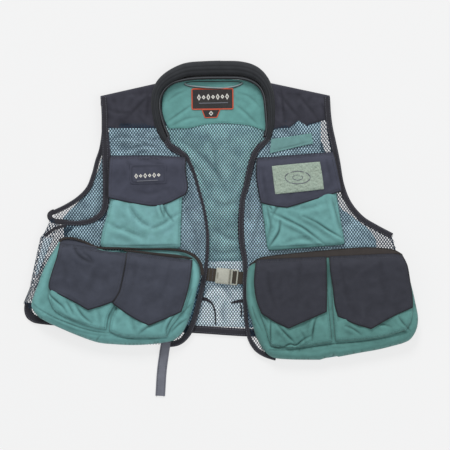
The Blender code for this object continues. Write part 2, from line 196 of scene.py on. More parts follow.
def crease(P, line, depth, width, ridge=0.6, shift=1.7):
    """A fold: a groove along the line with a soft ridge on its (-dy, dx) side."""
    d, s, side = near(P, cr(line, 2.0))
    taper = np.sin(PI * np.clip(s, 0.03, 0.97)) ** 0.6
    taper = np.where((s <= 0.001) | (s >= 0.999), taper * np.exp(-(d / (2 * width)) ** 2), taper)
    sd = d * side
    return taper * (-depth * np.exp(-(d / width) ** 2)
                    + ridge * depth * np.exp(-((sd - shift * width) / (1.4 * width)) ** 2))


def fold_parts(P, folds):
    """Height change in mm and painted shade of a list of folds: (line, depth mm, width squares, ridge, dark); dark
    paints shade along the fold, and a negative dark paints light along it instead.
    """
    dz, dark, light = np.zeros(len(P)), np.zeros(len(P)), np.zeros(len(P))
    for f in folds:
        line, depth, width = f[:3]
        ridge = f[3] if len(f) > 3 else 0.6
        k = f[4] if len(f) > 4 else 0.0
        dz += crease(P, line, 1.4 * depth, width, ridge)
        if k < 0:
            d, s, _ = near(P, cr(line, 2.0))
            light = np.maximum(light, -k * np.exp(-(d / width) ** 2) * np.sin(PI * np.clip(s, 0.06, 0.94)) ** 0.5)
        elif k:
            d, s, _ = near(P, cr(line, 2.0))
            dark = np.maximum(dark, min(1.0, 2.1 * k) * np.exp(-(d / max(0.75, 0.6 * width)) ** 2)
                              * np.sin(PI * np.clip(s, 0.06, 0.94)) ** 0.5)
    return dz, np.where(dark > 0.12, dark, dark - light)


def fold_points(folds, step):
    """Extra points along folds, so that they stay crisp."""
    out = []
    for f in folds:
        c = cr(f[0], max(0.8, step * 0.7))
        for k in (-1.5, -0.75, 0.0, 0.75, 1.5):
            out.append(offset(c, k * f[2]))
    return np.vstack(out) if out else np.zeros((0, 2))


# ------------------------------------------------------------------ materials
def lin(rgb):
    out = []
    for v in rgb:
        c = v / 255.0
        out.append(c / 12.92 if c <= 0.04045 else ((c + 0.055) / 1.055) ** 2.4)
    return tuple(out) + (1.0,)


class Mat:
    def __init__(self, name):
        self.m = bpy.data.materials.new(name)
        self.m.use_nodes = True
        self.t = self.m.node_tree
        self.b = self.t.nodes["Principled BSDF"]
        self.co = self.t.nodes.new("ShaderNodeTexCoord")

    def link(self, a, b):
        self.t.links.new(a, b)

    def noise(self, scale, detail=3.0, rough=0.5, coord="Object"):
        n = self.t.nodes.new("ShaderNodeTexNoise")
        n.inputs["Scale"].default_value = scale
        n.inputs["Detail"].default_value = detail
        n.inputs["Roughness"].default_value = rough
        self.link(self.co.outputs[coord], n.inputs["Vector"])
        return n.outputs["Fac"]

    def wave(self, period, direction="X", coord="Object", distort=0.0):
        n = self.t.nodes.new("ShaderNodeTexWave")
        n.wave_type, n.bands_direction = "BANDS", direction
        n.inputs["Scale"].default_value = 2 * PI / 20 / period
        n.inputs["Distortion"].default_value = distort
        n.inputs["Detail"].default_value = 1.0
        n.inputs["Detail Scale"].default_value = 1.5
        self.link(self.co.outputs[coord], n.inputs["Vector"])
        return n.outputs["Fac"]

    def attribute(self, name):
        n = self.t.nodes.new("ShaderNodeAttribute")
        n.attribute_name = name
        return n.outputs["Fac"]

    def math(self, op, a, b=None, clamp=False):
        n = self.t.nodes.new("ShaderNodeMath")
        n.operation, n.use_clamp = op, clamp
        for i, v in enumerate((a, b)):
            if v is None:
                continue
            if isinstance(v, (int, float)):
                n.inputs[i].default_value = v
            else:
                self.link(v, n.inputs[i])
        return n.outputs[0]

    def mix(self, fac, a, b, kind="MIX"):
        n = self.t.nodes.new("ShaderNodeMix")
        n.data_type, n.blend_type = "RGBA", kind
        for sock, v in ((n.inputs["Factor"], fac), (n.inputs[6], a), (n.inputs[7], b)):
            if isinstance(v, (int, float, tuple)):
                sock.default_value = v
            else:
                self.link(v, sock)
        return n.outputs[2]

    def ramp(self, fac, stops):
        n = self.t.nodes.new("ShaderNodeValToRGB")
        e = n.color_ramp.elements
        while len(e) < len(stops):
            e.new(0.5)
        for k, (p, c) in enumerate(stops):
            e[k].position, e[k].color = p, c
        self.link(fac, n.inputs["Fac"])
        return n.outputs["Color"]

    def bump(self, height, dist, strength=1.0):
        n = self.t.nodes.new("ShaderNodeBump")
        n.inputs["Distance"].default_value = dist
        n.inputs["Strength"].default_value = strength
        self.link(height, n.inputs["Height"])
        self.link(n.outputs["Normal"], self.b.inputs["Normal"])

    def done(self, color, rough=0.85, sheen=0.0, spec=0.3):
        if isinstance(color, tuple):
            self.b.inputs["Base Color"].default_value = color
        else:
            self.link(color, self.b.inputs["Base Color"])
        if isinstance(rough, (int, float)):
            self.b.inputs["Roughness"].default_value = rough
        else:
            self.link(rough, self.b.inputs["Roughness"])
        self.b.inputs["Sheen Weight"].default_value = sheen
        self.b.inputs["Sheen Roughness"].default_value = 0.4
        self.b.inputs["Specular IOR Level"].default_value = spec
        return self.m


def mul(c, k):
    return tuple(min(1.0, v * k) for v in c[:3]) + (1.0,)


def woven(name, rgb, var=0.12, pitch=0.0011, weave=0.16, height=0.00018, rough=0.8, sheen=0.12, spec=0.25,
          mottle=55.0, tint=None):
    """A plain-woven cloth: crossing yarns, slubs, and soft uneven dye; the fold attribute paints shade into creases and
    highlight onto ridges.
    """
    m = Mat(name)
    c = lin(rgb)
    big = m.noise(mottle, 4.0, 0.6)
    base = m.ramp(big, [(0.30, mul(c, 1 - var)), (0.72, mul(tint or c, 1 + var))])
    warp, weft = m.wave(pitch, "X", distort=0.6), m.wave(pitch, "Y", distort=0.6)
    yarn = m.math("MULTIPLY", warp, weft)
    slub = m.noise(900.0, 2.0, 0.6)
    shade = m.math("ADD", m.math("MULTIPLY", yarn, weave * 1.6), m.math("MULTIPLY", slub, weave))
    shade = m.math("ADD", shade, 1.0 - weave * 0.9)
    col = m.mix(1.0, base, m.ramp(shade, [(0.0, (0, 0, 0, 1)), (1.0, (1, 1, 1, 1))]), "MULTIPLY")
    # painted shade from the fold attribute darkens the colour towards 0.18 of itself; a negative value paints highlight
    # towards 1.5 of it
    painted_shading = m.attribute("fold")
    col = m.mix(m.math("MULTIPLY", painted_shading, 0.8, True), col, mul(c, 0.18))
    col = m.mix(m.math("MULTIPLY", painted_shading, -0.8, True), col, mul(c, 1.5))
    m.bump(m.math("ADD", m.math("MULTIPLY", yarn, 0.7), m.math("MULTIPLY", slub, 0.5)), height)
    return m.done(col, m.math("ADD", m.math("MULTIPLY", slub, 0.12), rough - 0.06), sheen, spec)


def ribbed(name, rgb, var=0.12, pitch=0.0014, height=0.00025, rough=0.75, spec=0.25, across=0.0022):
    """Tape or webbing: ribs across, a herringbone of yarns along.  Reads the strip's own UV in metres."""
    m = Mat(name)
    c = lin(rgb)
    ribs = m.wave(pitch, "X", "UV", 0.3)
    cols = m.wave(across, "Y", "UV", 0.3)
    tone = m.noise(70.0, 3.0, 0.6)
    fuzz = m.noise(1100.0, 2.0, 0.6)
    base = m.ramp(tone, [(0.3, mul(c, 1 - var)), (0.72, mul(c, 1 + var))])
    k = m.math("ADD", m.math("MULTIPLY", ribs, 0.22), m.math("MULTIPLY", cols, 0.10))
    k = m.math("ADD", m.math("ADD", k, m.math("MULTIPLY", fuzz, 0.14)), 0.68)
    col = m.mix(1.0, base, m.ramp(k, [(0.0, (0, 0, 0, 1)), (1.0, (1, 1, 1, 1))]), "MULTIPLY")
    m.bump(m.math("ADD", m.math("ADD", m.math("MULTIPLY", ribs, 0.8), m.math("MULTIPLY", cols, 0.4)),
                  m.math("MULTIPLY", fuzz, 0.4)), height)
    return m.done(col, rough, 0.1, spec)


def knitted(name, rgb):
    m = Mat(name)
    c = lin(rgb)
    n = m.noise(1500.0, 2.0, 0.6)
    big = m.noise(28.0, 3.0, 0.6)
    a = m.ramp(big, [(0.3, mul(c, 0.82)), (0.7, mul(c, 1.22))])
    col = m.mix(m.math("MULTIPLY", n, 0.5), a, mul(c, 1.5))
    m.bump(n, 0.0002)
    return m.done(col, 0.75, 0.05, 0.25)


def fleece_mat(name, rgb):
    m = Mat(name)
    c = lin(rgb)
    n = m.noise(420.0, 5.0, 0.7)
    big = m.noise(60.0, 3.0, 0.6)
    a = m.ramp(n, [(0.32, mul(c, 0.62)), (0.5, c), (0.70, mul(c, 1.35))])
    col = m.mix(m.math("MULTIPLY", big, 0.35), a, lin((190, 196, 176)))
    m.bump(n, 0.0009)
    return m.done(col, 0.95, 0.35, 0.1)


def plastic(name, rgb, rough=0.42):
    m = Mat(name)
    c = lin(rgb)
    n = m.noise(260.0, 4.0, 0.6)
    fine = m.noise(2600.0, 2.0, 0.5)
    col = m.ramp(n, [(0.3, mul(c, 0.9)), (0.7, mul(c, 1.08))])
    m.bump(m.math("ADD", m.math("MULTIPLY", n, 0.4), m.math("MULTIPLY", fine, 0.6)), 0.00006)
    return m.done(col, m.math("ADD", m.math("MULTIPLY", n, 0.18), rough - 0.05), 0.0, 0.5)


def thread(name, rgb):
    m = Mat(name)
    c = lin(rgb)
    n = m.noise(2400.0, 2.0, 0.5)
    col = m.ramp(n, [(0.3, mul(c, 0.8)), (0.7, mul(c, 1.2))])
    m.bump(n, 0.0001)
    return m.done(col, 0.6, 0.1, 0.4)


TEAL = woven("teal_taslan", (112, 162, 160), var=0.10, tint=lin((116, 164, 166)), sheen=0.10)
TEAL_DEEP = woven("teal_taslan_deep", (88, 134, 129), var=0.14)
TEAL_MID = woven("teal_taslan_mid", (103, 154, 152), var=0.12)
NECK_TEAL = woven("teal_taslan_neck", (99, 152, 148), var=0.12)
TAB_TEAL = woven("teal_taslan_tab", (106, 146, 144), var=0.12)
CHEST_TEAL = woven("teal_taslan_chest", (107, 157, 155), var=0.12)
# painted light and shade: the wide mottle of the cargo lining (var 0.36) stands in for the sheen and shading of its
# wrinkles
CARGO = woven("cargo_lining", (178, 226, 236), var=0.36, mottle=26.0)
PALE_NET = woven("pale_lining_knit", (240, 253, 255), var=0.12, pitch=0.0013, weave=0.12, rough=0.6, mottle=34.0)
for node in PALE_NET.node_tree.nodes:        # the thin pale knit glows faintly blue: painted light that keeps it bright where the net above shades it
    if node.type == "BSDF_PRINCIPLED":
        node.inputs["Emission Color"].default_value = (0.22, 0.66, 1.0, 1.0)
        node.inputs["Emission Strength"].default_value = 0.12
CHARCOAL = woven("charcoal_taslan", (66, 68, 81), var=0.16, mottle=32.0, sheen=0.08, spec=0.2)
CHARCOAL_M = woven("charcoal_taslan_mid", (61, 64, 75), var=0.18, mottle=30.0)
CHARCOAL_R = woven("charcoal_taslan_shade", (53, 54, 62), var=0.10, sheen=0.06, spec=0.2)
YOKE = woven("yoke_taslan", (56, 56, 65), var=0.12, sheen=0.08, spec=0.2)
COLLAR = woven("collar_cloth", (49, 51, 54), var=0.14, pitch=0.0013, sheen=0.10, spec=0.2)
BLACKISH = woven("label_satin", (32, 27, 27), var=0.10, pitch=0.0008, weave=0.1, rough=0.5, spec=0.45)
NETTING = knitted("mesh_yarn", (23, 43, 61))
# painted light and shade: the wide mottle of the lining knit (var 0.40) stands in for the sheen and shading of its
# wrinkles
FINE_NET = woven("fine_lining_knit", (178, 208, 222), var=0.40, pitch=0.0013, weave=0.12, rough=0.6, mottle=34.0)
BINDING = ribbed("binding_tape", (49, 48, 54), pitch=0.0016, rough=0.8)
BROWNTAPE = ribbed("mouth_tape", (54, 49, 47), pitch=0.0016, rough=0.8)
WEBBING = ribbed("belt_webbing", (66, 60, 52), pitch=0.0019, height=0.0004)
STRAP = ribbed("strap_webbing", (118, 120, 130), pitch=0.0019, height=0.0004)
CORDMAT = ribbed("loop_cord", (146, 164, 166), pitch=0.0012, rough=0.6)
BORDER = thread("label_border", (196, 84, 58))
THREAD_T = thread("thread_teal", (92, 140, 138))
THREAD_D = thread("thread_dark", (44, 45, 54))
THREAD_G = thread("thread_grey", (92, 94, 104))
PALE = thread("woven_pale", (214, 212, 204))
GREYISH = thread("woven_grey", (112, 114, 122))
PIPE_LINE = thread("piping_line", (84, 86, 90))
# near-black edge of the flaps' lining, which doubles as the painted shadow under each flap
NEARBLACK = thread("edge_black", (26, 25, 29))
FLEECE = fleece_mat("fly_fleece", (144, 161, 149))
OLIVE = plastic("buckle_plastic", (170, 170, 158))
OLIVE_DARK = plastic("buckle_plastic_dark", (122, 120, 108))


def place(ob, body):
    """body is a body's name, or blend_left / blend_right for cloth that runs from the shoulder into a front."""
    if body == "blend_left":
        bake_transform(ob)
    elif body == "blend_right":
        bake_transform(ob)
    else:
        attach(ob, body)


def make(name, verts, faces, mat, body, replaces=(), slot=None, uv=None, sharp=50, extra_mats=(), face_mats=None,
         fold=None):
    me = bpy.data.meshes.new(name)
    verts = np.asarray(verts, float)
    me.from_pydata(verts.tolist(), [], [list(map(int, f)) for f in faces])
    me.update()
    me.materials.append(mat)
    for m in extra_mats:
        me.materials.append(m)
    if face_mats is not None:
        me.polygons.foreach_set("material_index", np.asarray(face_mats, np.int32))
    me.polygons.foreach_set("use_smooth", np.ones(len(me.polygons), bool))
    if uv is not None:
        lay = me.uv_layers.new(name="UVMap")
        idx = np.zeros(len(me.loops), np.int32)
        me.loops.foreach_get("vertex_index", idx)
        lay.data.foreach_set("uv", np.asarray(uv, np.float32)[idx].ravel())
    # the fold attribute carries painted shade (positive) and painted highlight (negative) for the woven materials
    if fold is not None:
        at = me.attributes.new("fold", "FLOAT", "POINT")
        at.data.foreach_set("value", np.asarray(fold, np.float32))
    if sharp:
        me.set_sharp_from_angle(angle=math.radians(sharp))
    ob = bpy.data.objects.new(name, me)
    bpy.context.scene.collection.objects.link(ob)
    place(ob, body)
    for n in replaces:
        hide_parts(n)
    return ob


# ------------------------------------------------------------------ cloth sheets
def plan(border, step, rings=(), extra=None):
    """Fills a closed outline with even triangles.  The first len(border) points are the outline in order."""
    border = np.asarray(border, float)
    closed = np.vstack([border, border[:1]])
    lo, hi = border.min(0), border.max(0)
    xs = np.arange(lo[0], hi[0] + step, step)
    rows = []
    for j, y in enumerate(np.arange(lo[1], hi[1] + step, step * 0.866)):
        rows.append(np.column_stack([xs + (0.5 * step if j % 2 else 0.0), np.full(len(xs), y)]))
    G = np.vstack(rows)
    G = G[inside(G, border)]
    d, _, _ = near(G, closed)
    gap = max([0.62 * step] + [r + 0.5 * step for r in rings])
    G = G[d > gap]
    ring = []
    g = np.roll(border, -1, 0) - np.roll(border, 1, 0)
    g = g / np.maximum(np.linalg.norm(g, axis=1), 1e-9)[:, None]
    n = np.column_stack([-g[:, 1], g[:, 0]])
    if inside(border + n * 0.05, border).mean() < 0.5:
        n = -n
    for r in rings:
        R = border + n * r
        R = R[inside(R, border)]
        d, _, _ = near(R, closed)
        ring.append(R[d > 0.85 * r])
    V = [border] + ring
    if extra is not None and len(extra):
        E = extra[inside(extra, border)]
        d, _, _ = near(E, closed)
        E = E[d > gap * 0.8]
        cell = step * 0.42
        key, first = np.unique(np.round(E / cell).astype(int), axis=0, return_index=True)
        E = E[np.sort(first)]
        taken = {(int(a), int(b)) for a, b in np.floor(E / (step * 0.8))}
        keep = np.array([(int(a), int(b)) not in taken for a, b in np.floor(G / (step * 0.8))])
        G = G[keep]
        V.append(E)
    V.append(G)
    V = np.vstack(V)
    nb = len(border)
    edges = [(i, (i + 1) % nb) for i in range(nb)]
    out = geometry.delaunay_2d_cdt([Vector((float(a), float(b))) for a, b in V], edges, [], 1, 1e-5)
    W2 = np.array([(v.x, v.y) for v in out[0]])
    T = np.array([f for f in out[2] if len(f) == 3], int)
    order = np.full(len(W2), -1)
    for k, src in enumerate(out[3]):
        if src:
            order[k] = src[0]
    if (order < 0).any():
        raise RuntimeError("outline crosses itself")
    T = order[T]
    a, b, c2 = V[T[:, 0]], V[T[:, 1]], V[T[:, 2]]
    T = T[inside((a + b + c2) / 3, border)]
    a, b, c2 = V[T[:, 0]], V[T[:, 1]], V[T[:, 2]]
    area = (b[:, 0] - a[:, 0]) * (c2[:, 1] - a[:, 1]) - (b[:, 1] - a[:, 1]) * (c2[:, 0] - a[:, 0])
    T = T[np.abs(area) > 1e-9]
    area = area[np.abs(area) > 1e-9]
    T[area > 0] = T[area > 0][:, ::-1]      # y runs down, so this faces up
    used = np.unique(T)
    if len(used) < len(V):                  # points merged away
        new = np.full(len(V), -1)
        new[used] = np.arange(len(used))
        if not (new[:nb] >= 0).all():
            raise RuntimeError("outline points merged")
        V, T = V[used], new[T]
    return V, T, nb


def normals(V, T):
    n = np.cross(V[T[:, 1]] - V[T[:, 0]], V[T[:, 2]] - V[T[:, 0]])
    out = np.zeros_like(V)
    for k in range(3):
        np.add.at(out, T[:, k], n)
    return out / np.maximum(np.linalg.norm(out, axis=1), 1e-12)[:, None]


def relief(n, T, z, step, strength=0.6):
    """Valleys of the cloth (positive) and its ridges (negative), for painted shade in the valleys and painted highlight
    on the ridges.
    """
    E = np.vstack([T[:, [0, 1]], T[:, [1, 2]], T[:, [2, 0]]])
    E = np.vstack([E, E[:, ::-1]])
    cnt = np.maximum(np.bincount(E[:, 0], minlength=n), 1)
    s = z.copy()
    for _ in range(int(min(30, 14.0 / step ** 2)) + 1):
        s = 0.5 * s + 0.5 * np.bincount(E[:, 0], weights=s[E[:, 1]], minlength=n) / cnt
    return np.clip(strength * (s - z), -0.25, 0.55)


def sheet(name, border, zfun, mat, body, step=1.6, thick=0.9, folds=(), rings=(), held="laid", rests=(), dark=None,
          declare=True, **kw):
    """A cut of cloth lying at the height zfun gives, thick mm through, with a closed edge."""
    border = np.asarray(border, float)
    V2, T, nb = plan(border, step, rings, fold_points(folds, step) if folds else None)
    z = np.broadcast_to(np.asarray(zfun(V2), float), len(V2)).copy()
    shade = np.zeros(len(V2))
    if folds:
        dz, shade = fold_parts(V2, folds)
        z += dz
    if dark is not None:
        shade = np.maximum(shade, dark(V2))
    # painted shade in the cloth's valleys and painted highlight on its ridges, merged with the folds' painted shade and
    # light
    painted_shading = relief(len(V2), np.asarray(T), z, step)
    shade = np.where(shade < -0.01, shade + 0.5 * painted_shading, np.where(shade < 0.03, painted_shading, np.maximum(shade, painted_shading)))
    mid = world(V2, z)
    n = normals(mid, T)
    up, dn = mid + n * thick * 0.0005, mid - n * thick * 0.0005
    N = len(mid)
    c = mid[:nb]
    g = np.roll(c, -1, 0) - np.roll(c, 1, 0)
    side = np.cross(g, n[:nb])
    side = side / np.maximum(np.linalg.norm(side, axis=1), 1e-12)[:, None]
    probe = c + side * 1e-3
    out = ~inside(np.column_stack([probe[:, 0] / U + GX, GY - probe[:, 1] / U]), border)
    if out.mean() < 0.5:
        side = -side
    edge = c + side * thick * 0.0004
    verts = np.vstack([up, dn, edge])
    i = np.arange(nb)
    j = (i + 1) % nb
    rim1 = np.column_stack([i, 2 * N + i, 2 * N + j, j])
    rim2 = np.column_stack([2 * N + i, N + i, N + j, 2 * N + j])
    fwd = False
    for t in T[(T < nb).sum(1) >= 2]:
        t = list(t)
        for k in range(3):
            a, b = t[k], t[(k + 1) % 3]
            if a < nb and b == (a + 1) % nb:
                fwd = True
                break
            if b < nb and a == (b + 1) % nb:
                fwd = None
                break
        if fwd is not False:
            break
    if fwd is None:
        rim1, rim2 = rim1[:, ::-1], rim2[:, ::-1]
    faces = [list(t) for t in T] + [list(t[::-1] + N) for t in T] + rim1.tolist() + rim2.tolist()
    fold = np.concatenate([shade, shade, shade[:nb]])
    ob = make(name, verts, faces, mat, body, sharp=65, fold=fold, **kw)
    return ob


def net(name, border, zfun, mat, body, pitch=(2.86, 3.9), hole=0.76, thick=0.62, keep=None, place3=None, declare=True,
        held="laid", rests=(), **kw):
    """Open mesh: a diamond lattice of yarn with a real hole in every cell."""
    border = np.asarray(border, float)
    px, py = pitch
    u = border[:, 0] / px + border[:, 1] / py
    v = border[:, 0] / px - border[:, 1] / py
    iu = np.arange(math.floor(u.min()) - 1, math.ceil(u.max()) + 1)
    iv = np.arange(math.floor(v.min()) - 1, math.ceil(v.max()) + 1)
    A, B = np.meshgrid(iu, iv, indexing="ij")
    A, B = A.ravel(), B.ravel()
    C = np.column_stack([(A + B + 1) * 0.5 * px, (A - B) * 0.5 * py])
    ok = inside(C, border)
    if keep is not None:
        ok &= keep(C)
    A, B = A[ok], B[ok]
    K = np.stack([np.column_stack([A + i, B + j]) for i, j in ((0, 0), (1, 0), (1, 1), (0, 1))], 1)
    uniq, inv = np.unique(K.reshape(-1, 2), axis=0, return_inverse=True)
    quads = inv.reshape(-1, 4)
    G = np.column_stack([(uniq[:, 0] + uniq[:, 1]) * 0.5 * px, (uniq[:, 0] - uniq[:, 1]) * 0.5 * py])
    n = len(quads)
    cen = G[quads].mean(1)
    ring = (cen[:, None, :] + (G[quads] - cen[:, None, :]) * hole).reshape(-1, 2)
    P = np.vstack([G, ring])
    inner = len(G) + np.arange(n * 4).reshape(n, 4)
    if place3 is None:
        def place3(Q):
            return world(Q, np.asarray(zfun(Q), float))
    W = place3(P)
    e = 0.05
    dx = place3(P + (e, 0)) - W
    dy = place3(P + (0, e)) - W
    nn = np.cross(dy, dx)
    nn = nn / np.maximum(np.linalg.norm(nn, axis=1), 1e-12)[:, None]
    # the yarn is round: full thickness in its middle, thinner at the hole
    t = np.full(len(P), thick * 0.0005)
    t[len(G):] *= 0.45
    V = np.vstack([W + nn * t[:, None], W - nn * t[:, None]])
    N = len(P)
    top_f = np.vstack([np.column_stack([quads[:, k], quads[:, (k + 1) % 4], inner[:, (k + 1) % 4], inner[:, k]])
                       for k in range(4)])
    wall = np.vstack([np.column_stack([inner[:, k], inner[:, (k + 1) % 4], inner[:, (k + 1) % 4] + N, inner[:, k] + N])
                      for k in range(4)])
    E = np.vstack([np.column_stack([quads[:, k], quads[:, (k + 1) % 4]]) for k in range(4)])
    key = np.sort(E, axis=1)
    _, idx, cnt = np.unique(key, axis=0, return_index=True, return_counts=True)
    B1 = E[idx[cnt == 1]]
    rim = np.column_stack([B1[:, 1], B1[:, 0], B1[:, 0] + N, B1[:, 1] + N])
    a, b, c = V[top_f[0][0]], V[top_f[0][1]], V[top_f[0][2]]
    faces = np.vstack([top_f, top_f[:, ::-1] + N, wall, rim])
    if np.dot(np.cross(b - a, c - a), nn[top_f[0][0]]) < 0:
        faces = faces[:, ::-1]
    ob = make(name, V, faces.tolist(), mat, body, sharp=0, **kw)
    if declare:
        T = V[faces]                         # what is cloth between the holes, one side of it
        A = 0.25 * float((np.linalg.norm(np.cross(T[:, 1] - T[:, 0], T[:, 2] - T[:, 0]), axis=1)
                          + np.linalg.norm(np.cross(T[:, 2] - T[:, 0], T[:, 3] - T[:, 0]), axis=1)).sum())
    return ob


def grid_sheet(name, G, thick, mat, body, fold=None, declare=None, held="folded", rests=(), **kw):
    """A closed sheet of cloth through an (n, m, 3) grid of pattern points (x, y squares, z mm)."""
    G = np.asarray(G, float)
    n, m = G.shape[:2]
    W = world(G.reshape(-1, 3)[:, :2], G.reshape(-1, 3)[:, 2]).reshape(n, m, 3)
    a = np.gradient(W, axis=0)
    b = np.gradient(W, axis=1)
    nn = np.cross(a, b)
    nn = nn / np.maximum(np.linalg.norm(nn, axis=2), 1e-12)[:, :, None]
    top = (W + nn * thick * 0.0005).reshape(-1, 3)
    bot = (W - nn * thick * 0.0005).reshape(-1, 3)
    V = np.vstack([top, bot])
    N = n * m
    f = []
    for i in range(n - 1):
        for j in range(m - 1):
            q = [i * m + j, (i + 1) * m + j, (i + 1) * m + j + 1, i * m + j + 1]
            f.append(q)
            f.append([k + N for k in q[::-1]])
    loop = [j for j in range(m)] + [i * m + m - 1 for i in range(1, n)] + \
           [(n - 1) * m + j for j in range(m - 2, -1, -1)] + [i * m for i in range(n - 2, 0, -1)]
    for p, q in zip(loop, loop[1:] + loop[:1]):
        f.append([p, q, q + N, p + N])
    ob = make(name, V, f, mat, body, sharp=65, fold=None if fold is None else np.concatenate([fold, fold]), **kw)
    return ob


# ------------------------------------------------------------------ strips and rolls
def sweep(name, path, section, mat, body, closed=False, scale=None, lift=None, **kw):
    """A section (K, 2) of (sideways, up) metres carried along a path (N, 3) in metres."""
    path = np.asarray(path, float)
    n, k = len(path), len(section)
    if closed:
        g = np.roll(path, -1, 0) - np.roll(path, 1, 0)
    else:
        g = np.gradient(path, axis=0)
    g = g / np.maximum(np.linalg.norm(g, axis=1), 1e-12)[:, None]
    side = np.cross(g, (0, 0, 1.0))
    side = side / np.maximum(np.linalg.norm(side, axis=1), 1e-12)[:, None]
    up = np.cross(side, g)
    sec = np.asarray(section, float)
    S = np.ones((n, 2)) if scale is None else np.asarray(scale, float)
    V = (path[:, None, :] + side[:, None, :] * (sec[None, :, 0:1] * S[:, None, 0:1])
         + up[:, None, :] * (sec[None, :, 1:2] * S[:, None, 1:2]))
    if lift is not None:
        V[:, :, 2] += lift
    V = V.reshape(-1, 3)
    arc = np.concatenate([[0], np.cumsum(np.linalg.norm(np.diff(path, axis=0), axis=1))])
    round_ = np.concatenate([[0], np.cumsum(np.linalg.norm(np.diff(sec, axis=0), axis=1))])
    uv = np.column_stack([np.repeat(arc, k), np.tile(round_, n)])
    faces = []
    m = n if closed else n - 1
    for i in range(m):
        a, b = i * k, ((i + 1) % n) * k
        for j in range(k):
            l = (j + 1) % k
            faces.append([a + j, b + j, b + l, a + l])
    if not closed:
        faces.append(list(range(k))[::1])
        faces.append([(n - 1) * k + j for j in range(k)][::-1])
    area = 0.5 * sum(sec[j][0] * sec[(j + 1) % k][1] - sec[(j + 1) % k][0] * sec[j][1] for j in range(k))
    if area < 0:
        faces = [f[::-1] for f in faces]
    return make(name, V, faces, mat, body, uv=uv, sharp=60, **kw)


def tape_section(half, t, groove=0.12):
    """Folded tape: rounded sides, a shallow line pressed in by the stitching near each edge."""
    pts = []
    for a in np.linspace(-PI / 2, PI / 2, 5):
        pts.append((half - t / 2 + t / 2 * math.cos(a), t / 2 * math.sin(a)))
    for s in (0.72, 0.62, 0.50, 0.2, -0.2, -0.50, -0.62, -0.72):
        pts.append((half * s, t / 2 * (1 + 0.25 * (1 - s * s)) - (groove * t if abs(abs(s) - 0.62) < 0.01 else 0)))
    for a in np.linspace(PI / 2, 3 * PI / 2, 5):
        pts.append((-half + t / 2 + t / 2 * math.cos(a), t / 2 * math.sin(a)))
    return np.array(pts)


def strap_section(half, t):
    r = t * 0.45
    pts = []
    for cx, cy, a0 in ((half - r, -t / 2 + r, -PI / 2), (half - r, t / 2 - r, 0), (-half + r, t / 2 - r, PI / 2),
                       (-half + r, -t / 2 + r, PI)):
        for a in np.linspace(a0, a0 + PI / 2, 3):
            pts.append((cx + r * math.cos(a), cy + r * math.sin(a)))
    top = []
    for p, q in zip(pts, pts[1:] + pts[:1]):
        top.append(p)
        if abs(p[0] - q[0]) > half:
            for k in range(1, 6):
                top.append((p[0] + (q[0] - p[0]) * k / 6, p[1] + (q[1] - p[1]) * k / 6))
    return np.array(top)


# ------------------------------------------------------------------ stitches
STITCH = {}


def stitches(body, mat, line, zfun, pitch=1.75, length=1.15, width=0.30, high=0.45, lift=0.12):
    """A row of thread stitches along a pattern line, on the surface zfun."""
    Q = resample(np.asarray(line, float), pitch)
    if len(Q) < 3:
        return
    g = np.gradient(Q, axis=0)
    g = g / np.maximum(np.linalg.norm(g, axis=1), 1e-9)[:, None]
    nrm = np.column_stack([-g[:, 1], g[:, 0]])
    h = length / 2
    Vs = []
    for along, across, up in ((-h, 0, -0.1), (-h * 0.6, -width, 0.05), (-h * 0.6, 0, high), (-h * 0.6, width, 0.05),
                              (h * 0.6, -width, 0.05), (h * 0.6, 0, high), (h * 0.6, width, 0.05), (h, 0, -0.1),
                              (-h * 0.6, 0, -0.2), (h * 0.6, 0, -0.2)):
        P = Q + g * along + nrm * across
        Vs.append(world(P, np.asarray(zfun(P), float) + up + lift))
    V = np.stack(Vs, 1)
    STITCH.setdefault((body, mat.name), [mat, []])[1].append(V.reshape(-1, 3))


ST_FACES = [(0, 1, 2), (0, 2, 3), (0, 8, 1), (0, 3, 8), (7, 5, 4), (7, 6, 5), (7, 4, 9), (7, 9, 6),
            (1, 4, 5, 2), (2, 5, 6, 3), (8, 9, 4, 1), (3, 6, 9, 8)]


def finish_stitches():
    for (body, matname), (mat, rows) in STITCH.items():
        V = np.vstack(rows)
        n = len(V) // 10
        F = []
        for k in range(n):
            o = k * 10
            F += [[o + i for i in f] for f in ST_FACES]
        make(f"stitching_{body}_{matname}", V, F, mat, body, sharp=0)


# ------------------------------------------------------------------ the seams' lines
FRONT_L = cr([(166, 138), (169, 145), (176, 150), (186, 157), (193.5, 172), (198.5, 189), (204.5, 212), (207.5, 236),
              (206.5, 262), (203.5, 281), (199, 301), (194, 320), (188, 334), (178, 343), (163, 345)])
FRONT_R = cr([(268.6, 137), (265.6, 141.6), (260, 146.4), (255.6, 152), (251.6, 163), (248.6, 176), (246.2, 187),
              (243.2, 197), (241.8, 208), (241.0, 226), (242, 244),
              (245, 262), (245, 281), (245, 301), (246.5, 322), (249.5, 338), (256, 349), (265, 355), (276, 358.5)])
ARM_L = cr([(103.4, 97.5), (104.2, 108), (104.6, 118), (104.7, 131), (105.2, 155), (106, 178), (105.8, 198),
            (103.2, 211), (93.5, 219.6), (79, 223.0), (64, 222.6)])
ARM_R = cr([(327.2, 97), (327.6, 105), (328.2, 114), (329.9, 127), (333.2, 142), (337.2, 161), (341.2, 184),
            (348.6, 203), (361.0, 218), (375, 227), (392, 236)])
BACK_ARM_L = cr([(104, 106), (103.6, 130), (101.2, 148), (97, 161), (93.6, 174), (88, 188), (78, 198.5), (65.5, 206.5),
                 (53, 212.5)])
BACK_ARM_R = cr([(328.2, 107), (329.6, 130), (334.6, 155), (339.4, 180), (346.4, 199), (359.5, 216), (373, 226), (388, 234)])
